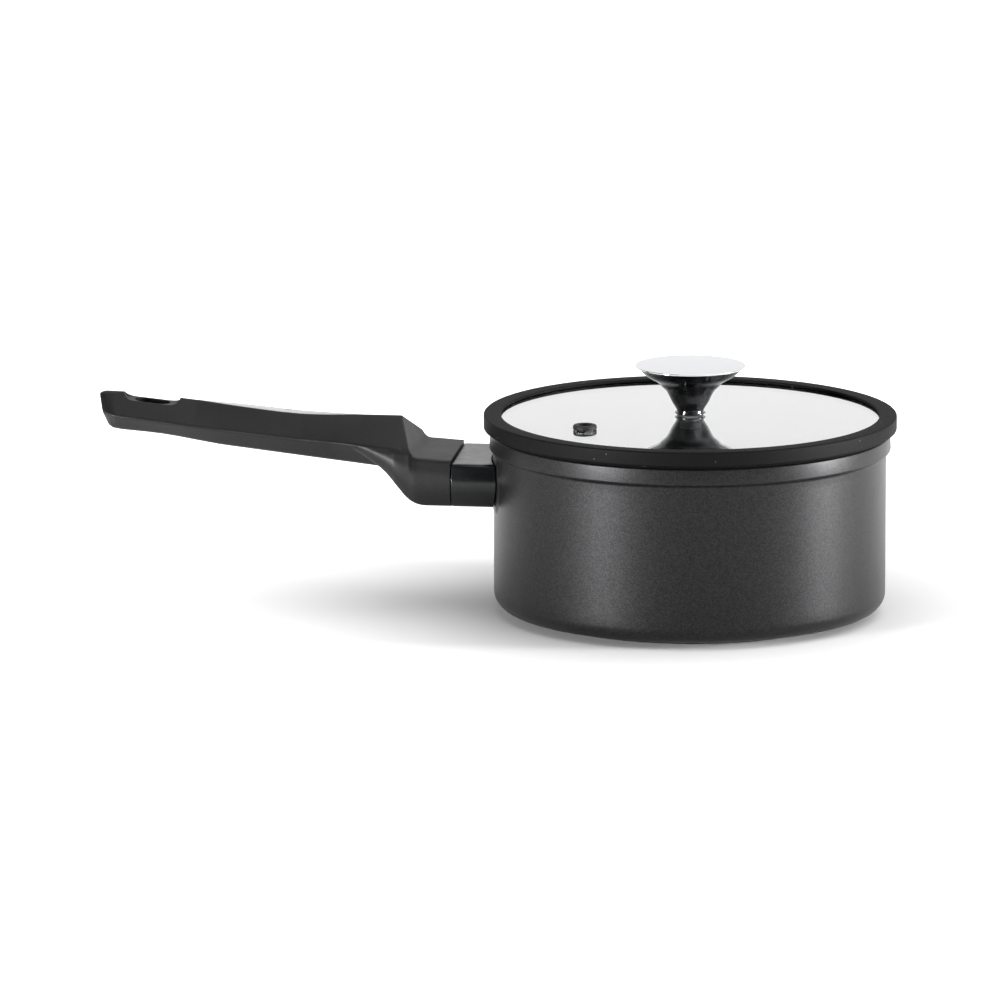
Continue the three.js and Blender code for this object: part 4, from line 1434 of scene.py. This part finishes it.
@dataclass
class Lid:
    """Glass, silicone rim and vent grommet.

    Sizes are in mm, and vent_angle is in degrees from +X towards +Y.
    """

    mouth: float = 77.3
    radius: float = 87.4
    face_height: float = 5.8
    chamfer_height: float = 1.6
    chamfer_width: float = 2.5
    top_width: float = 7.4
    lip: float = 1.1
    glass_radius: float = 83
    glass: float = 4
    crown: float = 0.8
    plug_radius: float = 79.5
    plug_thickness: float = 2
    plug_depth: float = 3.8
    lift: float = 0.3
    vent_reach: float = 55
    vent_angle: float = 222
    vent_hole: float = 2.8
    vent_neck: float = 3.8
    vent_flange: float = 5
    vent_height: float = 1.9
    screw_hole: float = 3.6

    @property
    def bottom(self) -> float:
        """Underside of the rim."""
        return self.mouth + self.lift

    @property
    def top(self) -> float:
        """Upper face of the rim."""
        return self.bottom + self.chamfer_height + self.face_height

    @property
    def glass_edge(self) -> float:
        """Upper face of the glass, at its edge."""
        return self.top - self.lip - FIT

    @property
    def glass_top(self) -> float:
        """Upper face of the glass, at its middle."""
        return self.glass_edge + self.crown

    def glass_height(self, radius: np.ndarray) -> np.ndarray:
        """Upper face of the glass: edge + crown (1 - (r / flat edge)^2).

        Args:
            radius: distance from the pan's axis.

        Returns:
            The heights.
        """
        inside = np.minimum(np.asarray(radius) / (self.glass_radius - self.top_width / 2), 1)
        return self.glass_edge + self.crown * (1 - inside * inside)

    def glass_skin(self) -> Skin:
        """The domed sheet with a round edge and a hole at its middle.

        Returns:
            The skin.
        """
        inward = np.linspace(self.glass_radius - 0.9, self.screw_hole, 40)
        turn = np.linspace(-math.pi / 2, math.pi / 2, 12)
        low = self.glass_edge - self.glass
        rim_r = self.glass_radius - 0.9 + 0.9 * np.cos(turn)
        rim_z = np.where(turn < 0, low + 0.9, self.glass_edge - 0.9) + 0.9 * np.sin(turn)
        under = np.stack([inward, self.glass_height(inward) - self.glass], 1)[::-1]
        over = np.stack([inward, self.glass_height(inward)], 1)
        outline = np.concatenate([under[:-1], np.stack([rim_r, rim_z], 1), over[1:]])
        return Skin.turned(outline, WIDE_SIDES, joined=True)

    def rim(self) -> Skin:
        """The rim: face, chamfer, groove for the glass, and plug lip.

        Returns:
            The skin.
        """
        groove = self.glass_radius + FIT
        floor = self.glass_edge - self.glass - FIT
        inner = self.radius - self.top_width
        plug_in = self.plug_radius - self.plug_thickness
        corners = [
            (self.radius - self.chamfer_width, self.bottom, 0.15),
            (self.radius, self.bottom + self.chamfer_height, 0.35),
            (self.radius, self.top, 0.7),
            (inner, self.top, 0.5),
            (inner, self.top - self.lip, 0.1),
            (groove, self.top - self.lip, 0.2),
            (groove, floor, 0.2),
            (plug_in, floor, 0.2),
            (plug_in, self.bottom - self.plug_depth, 0.6),
            (self.plug_radius, self.bottom - self.plug_depth, 0.9),
            (self.plug_radius, self.bottom, 0.3),
        ]
        return Skin.turned(rounded(corners, closed=True), WIDE_SIDES, joined=True)

    def grommet(self) -> Skin:
        """The eyelet: a turned ring with a flange on both sides of the glass.

        Returns:
            The skin, at its place.
        """
        glass = float(self.glass_height(self.vent_reach))
        under, over = glass - self.glass - FIT, glass + FIT
        corners = [
            (self.vent_hole, under - 1.2, 0.2),
            (self.vent_flange, under - 1.2, 0.5),
            (self.vent_flange, under, 0.15),
            (self.vent_neck, under),
            (self.vent_neck, over),
            (self.vent_flange, over, 0.15),
            (self.vent_flange, over + self.vent_height, 0.8),
            (self.vent_hole, over + self.vent_height, 0.5),
        ]
        ring = Skin.turned(rounded(corners, closed=True), SMALL_SIDES, joined=True)
        return self.at_vent(ring)

    def at_vent(self, skin: Skin) -> Skin:
        """Moves a skin from the axis to the vent's place.

        Args:
            skin: a skin about the axis.

        Returns:
            The moved skin.
        """
        angle = math.radians(self.vent_angle)
        shift = np.array([math.cos(angle), math.sin(angle), 0]) * self.vent_reach
        return Skin(skin.rings + shift, skin.joined)

    def build(self) -> None:
        """Builds the glass, the rim and the grommet."""
        radius = self.vent_neck + FIT
        low, high = self.bottom - 8, self.top + 10
        drill = np.array([(0, low), (radius, low), (radius, high), (0, high)])
        vent = self.at_vent(Skin.turned(drill, SMALL_SIDES))
        glass = ("tempered_glass", CLEAR_GLASS)
        rim = ("rim_silicone", RIM_SILICONE)
        seal = ("seal_silicone", SEAL_SILICONE)
        for name, skin, node, dress, cuts in (
            ("glass_sheet", self.glass_skin(), "glass_disc", glass, [vent]),
            ("silicone_ring", self.rim(), "silicone_rim", rim, []),
            ("vent_eyelet", self.grommet(), "vent_grommet", seal, []),
        ):
            Piece(name, [skin], Body.LID, node, *dress, cuts=cuts).build()


@dataclass
class Knob:
    """Flared stem, flat cap, and the hardware that clamps them to the glass.

    Every size is in mm.
    """

    lid: Lid
    height: float = 20.6
    radius: float = 23.4
    foot: float = 5.7
    flange_radius: float = 6.5
    flange_height: float = 0.6
    wall: float = 1.5
    cap_edge: float = 1
    cap_crown: float = 0.5
    cap_overhang: float = 1.3
    floor: float = 5
    boss_height: float = 8
    boss_radius: float = 5.4
    screw_radius: float = 2.4
    head_radius: float = 4.4
    head_height: float = 2.8
    upper_seal: float = 0.5
    lower_seal: float = 0.8
    washer: float = 1
    washer_radius: float = 7

    @property
    def base(self) -> float:
        """Underside of the stem."""
        return self.lid.glass_top + SEAT + self.upper_seal + SEAT

    def side(self) -> np.ndarray:
        """The flared side, as a smooth curve of [radius, height].

        Returns:
            Rows of two, from the foot up.
        """
        tall = self.height - self.cap_edge - SEAT
        flare = self.radius - self.cap_overhang - self.foot
        shares = np.array(
            [(0, 0), (0.015, 0.095), (0.128, 0.254), (0.262, 0.477), (0.4, 0.6), (0.518, 0.7)]
            + [(0.8, 0.84), (1, 1)]
        )
        flared = spline(shares * (flare, tall) + (self.foot, self.base), 84)
        top = self.base + self.flange_height
        flange = rounded(
            [
                (self.flange_radius - 1, self.base),
                (self.flange_radius, self.base, 0.2),
                (self.flange_radius, top, 0.25),
                (self.foot + 0.1, top, 0.3),
                (self.foot, top + 0.6),
            ]
        )
        return np.concatenate([flange, flared[flared[:, 1] > top + 0.6]])

    def stem(self) -> Skin:
        """The shell: its side, its hollow inside, and the screw's hole in its foot.

        Returns:
            The skin.
        """
        side = self.side()
        hollow = self.base + self.floor
        inside = side[side[:, 1] > hollow + 1][::-1] - np.array([self.wall, 0])
        hole = self.screw_radius + FIT
        first = [(hole, self.base)]
        last = [(inside[-1, 0] - 0.3, hollow), (hole, hollow)]
        return Skin.turned(np.concatenate([first, side, inside, last]), KNOB_SIDES, joined=True)

    def cap(self) -> Skin:
        """The disc: a thin edge with small rounds and a slight crown.

        Returns:
            The skin.
        """
        low = self.base + self.height - self.cap_edge
        high = low + self.cap_edge
        inward = np.linspace(0.97, 0, 24)[:, None]
        crown = np.concatenate(
            [self.radius * inward, high + self.cap_crown * (1 - (inward / 0.97) ** 2)], 1
        )
        edge = rounded(
            [
                (0, low),
                (self.radius - 0.8, low, 0.1),
                (self.radius, low + 0.35, 0.3),
                (self.radius, high, 0.35),
                (self.radius * 0.97, high),
            ]
        )
        return Skin.turned(np.concatenate([edge[:-1], crown]), KNOB_SIDES)

    def build(self) -> None:
        """Builds every piece of the knob."""
        base = self.base
        start = base + self.floor + SEAT
        end = start + self.boss_height
        thread = self.screw_radius + SEAT
        boss = rounded(
            [
                (0, end - 1),
                (thread, end - 1),
                (thread, start),
                (self.boss_radius, start, 0.3),
                (self.boss_radius, end, 0.3),
                (0, end),
            ]
        )
        bore = self.screw_radius + FIT
        glass_under = self.lid.glass_top - self.lid.glass
        low_top = glass_under - SEAT
        washer_top = low_top - self.lower_seal - SEAT
        head_top = washer_top - self.washer - SEAT
        head_low = head_top - self.head_height
        top = base + self.floor + self.boss_height - 2
        shape = [
            (0, head_low),
            (self.head_radius, head_low, 0.9),
            (self.head_radius, head_top, 0.15),
            (self.screw_radius, head_top, 0.1),
            (self.screw_radius, top, 0.4),
            (0, top),
        ]
        screw = Skin.turned(rounded(shape), SMALL_SIDES)
        seal_low = self.lid.glass_top + SEAT
        upper = tube(bore, self.foot - 0.2, seal_low, base - SEAT, Axis.UP)
        lower = tube(bore, self.washer_radius, low_top - self.lower_seal, low_top, Axis.UP)
        ring = tube(bore, self.washer_radius, washer_top - self.washer, washer_top, Axis.UP)
        # the stem's steel carries a darker colour as painted shade; the cap keeps the bright
        # colour
        stem = ("polished_steel", SHADED_STEM_STEEL)
        cap = ("polished_steel", KNOB_STEEL)
        plain = ("plain_steel", PLAIN_STEEL)
        seal = ("seal_silicone", SEAL_SILICONE)
        for name, skin, node, dress, cuts, crease in (
            ("knob_shell", self.stem(), "knob_stem", stem, [], 40),
            ("knob_disc", self.cap(), "knob_cap", cap, [], 40),
            ("threaded_bush", Skin.turned(boss, SMALL_SIDES), "knob_boss", plain, [], 30),
            ("upper_seal", upper, "knob_upper_seal", seal, [], 30),
            ("lower_seal", lower, "knob_lower_seal", seal, [], 30),
            ("glass_washer", ring, "knob_washer", plain, [], 30),
            ("cross_screw", screw, "knob_screw", plain, self.drive(head_low), 30),
        ):
            Piece(name, [skin], Body.LID, node, *dress, cuts=cuts, crease=crease).build()

    @staticmethod
    def drive(head_low: float) -> list[Skin]:
        """The two blades of the cross in the screw's head.

        Args:
            head_low: height of the head's outer face.

        Returns:
            One skin for each blade.
        """
        blade = np.array([(-2.5, -0.5), (2.5, -0.5), (2.5, 0.5), (-2.5, 0.5)])
        slabs = []
        for flat in (blade, blade[:, ::-1][::-1]):
            ends = [np.column_stack([flat, np.full(4, head_low + z)]) for z in (-1.5, 1.5)]
            slabs.append(Skin(np.stack(ends)))
        return slabs


# ---------------------------------------------------------------- studio


@dataclass
class Studio:
    """Pale floor, soft lamps, white surround and the camera. Lengths are in metres.

    Attributes:
        target: what the camera looks at.
        azimuth: the camera's, from -Y round to +X, degrees.
        elevation: the camera's, degrees.
        distance: from the camera to the target.
        lens: focal length on a 36 mm sensor, mm.
        ambient: strength of the even light.
        floor_half: half the floor's side.
        floor_drop: how far the floor lies under the pan.
        glow_from: distance from the pan's axis where the floor's painted glow begins.
        glow_to: distance where the painted glow is full and the floor is white.
        aim_height: height over the middle of the base that the lamps face.
    """

    target: tuple[float, float, float] = (-0.0799, -0.0092, 0.0475)
    azimuth: float = 6.6
    elevation: float = 11.38
    distance: float = 3.934
    lens: float = 334.3
    ambient: float = 0.18
    floor_half: float = 12.0
    floor_drop: float = 0.0002
    glow_from: float = 0.08
    glow_to: float = 0.32
    aim_height: float = 0.05

    def direction(self, azimuth: float, elevation: float) -> Vector:
        """Unit vector towards a place at an azimuth from -Y, to +X, and an elevation.

        Args:
            azimuth: degrees.
            elevation: degrees.

        Returns:
            The vector.
        """
        a, e = math.radians(azimuth), math.radians(elevation)
        return Vector((math.sin(a) * math.cos(e), -math.cos(a) * math.cos(e), math.sin(e)))

    def camera(self) -> None:
        """A long lens on a level camera, with everything in focus."""
        data = bpy.data.cameras.new("camera")
        data.lens, data.sensor_width = self.lens, 36
        data.clip_start, data.clip_end = 0.05, 60
        thing = bpy.data.objects.new("camera", data)
        back = self.direction(self.azimuth, self.elevation)
        thing.location = Vector(self.target) + back * self.distance
        thing.rotation_euler = (-back).to_track_quat("-Z", "Y").to_euler()
        bpy.context.scene.collection.objects.link(thing)
        bpy.context.scene.camera = thing

    def lamp(
        self,
        name: str,
        azimuth: float,
        elevation: float,
        distance: float,
        size: tuple[float, float],
        power: float,
    ) -> None:
        """A soft rectangular lamp that faces the pan.

        Args:
            name: its name.
            azimuth: from the camera's side, -Y, round to +X, degrees.
            elevation: above the floor, degrees.
            distance: from the pan, m.
            size: width and height, m.
            power: W.
        """
        data = bpy.data.lights.new(name, "AREA")
        data.shape, data.size, data.size_y, data.energy = "RECTANGLE", *size, power
        thing = bpy.data.objects.new(name, data)
        way = self.direction(azimuth, elevation)
        thing.location = Vector((0, 0, self.aim_height)) + way * distance
        thing.rotation_euler = (-way).to_track_quat("-Z", "Y").to_euler()
        bpy.context.scene.collection.objects.link(thing)

    def seen(self, tree: Tree) -> Socket:
        """1 for rays from the camera, a mirror or glass, and 0 for light that falls on things.

        Args:
            tree: the node tree.

        Returns:
            The 0 or 1.
        """
        rays = add(tree, "LightPath").outputs
        first = maths(tree, "ADD", rays["Is Camera Ray"], rays["Is Glossy Ray"])
        return maths(tree, "ADD", first, rays["Is Transmission Ray"], clamp=True)

    def floor(self) -> None:
        """A pale floor with painted light: an emission, seen by the eye, mirrors and glass, that
        rises with distance from the pan, so the real shadow shows near the pan and fades to white
        further out.
        """
        half, level = self.floor_half, -self.floor_drop
        mesh = bpy.data.meshes.new("floor")
        corners = [(x * half, y * half, level) for x, y in ((-1, -1), (1, -1), (1, 1), (-1, 1))]
        mesh.from_pydata(corners, [], [(0, 1, 2, 3)])
        thing = bpy.data.objects.new("floor", mesh)
        bpy.context.scene.collection.objects.link(thing)
        paper = bpy.data.materials.new("white_floor_painted_glow")
        paper.use_nodes = True
        tree = paper.node_tree
        tree.nodes.clear()
        place = add(tree, "TexCoord").outputs["Object"]
        far = add(tree, "VectorMath", links={0: place}, operation="LENGTH").outputs["Value"]
        # painted light: the floor glows more with distance from the pan's axis, which fades the
        # shadow out to white
        reach = {"From Min": self.glow_from, "From Max": self.glow_to}
        glow = add(tree, "MapRange", {**reach, "To Min": 0.0, "To Max": 1.0}, {"Value": far})
        shown = maths(tree, "MULTIPLY", glow.outputs[0], self.seen(tree))
        matt = add(tree, "BsdfDiffuse", {"Color": linear("#f4f4f4")})
        light = add(tree, "Emission", links={"Strength": shown})
        both = add(tree, "AddShader", links={0: matt.outputs[0], 1: light.outputs[0]})
        add(tree, "OutputMaterial", links={"Surface": both.outputs[0]})
        mesh.materials.append(paper)

    def world(self) -> None:
        """An even soft light, a white surround to the eye, and a studio to the mirror.

        Seen directly or through glass the surround is white. A mirror sees the white backdrop
        behind the pan, +Y, and the dark room in front of it, with a smooth change between.
        """
        world = bpy.data.worlds.new("surround")
        bpy.context.scene.world = world
        world.use_nodes = True
        tree = world.node_tree
        tree.nodes.clear()
        rays = add(tree, "LightPath").outputs
        way = add(tree, "TexCoord").outputs["Generated"]
        parts = add(tree, "SeparateXYZ", links={0: way})
        span = {"From Min": 0.1, "From Max": 0.93, "To Min": 0.05, "To Max": 1.0}
        forward = {"Value": parts.outputs["Y"]}
        room = add(tree, "MapRange", span, forward, interpolation_type="SMOOTHSTEP")
        mirror = {0: rays["Is Glossy Ray"], 3: room.outputs[0]}
        shine = add(tree, "Mix", {2: self.ambient}, mirror)
        clear = maths(tree, "MAXIMUM", rays["Is Camera Ray"], rays["Is Transmission Ray"])
        strength = add(tree, "Mix", {3: 1.0}, {0: clear, 2: shine.outputs[0]})
        sky = add(tree, "Background", {0: (1, 1, 1, 1)}, {"Strength": strength.outputs[0]})
        add(tree, "OutputWorld", links={"Surface": sky.outputs[0]})

    def build(self) -> None:
        """Builds the studio: lamps at the right, at the left in front, and overhead."""
        self.camera()
        self.floor()
        self.world()
        self.lamp("key", 88, 4, 1.6, (0.3, 0.3), 58)
        self.lamp("side", -45, 4, 1.6, (0.3, 0.3), 40)
        self.lamp("overhead", 80, 66, 1.8, (2.6, 2.6), 30)
        bpy.context.scene.view_settings.view_transform = "Standard"


def main() -> None:
    """Builds the pan, the handle, the lid, the knob and the studio."""
    Studio().build()
    Pan().build()
    Handle().build()
    lid = Lid()
    lid.build()
    Knob(lid).build()


if __name__ == "__main__":
    main()
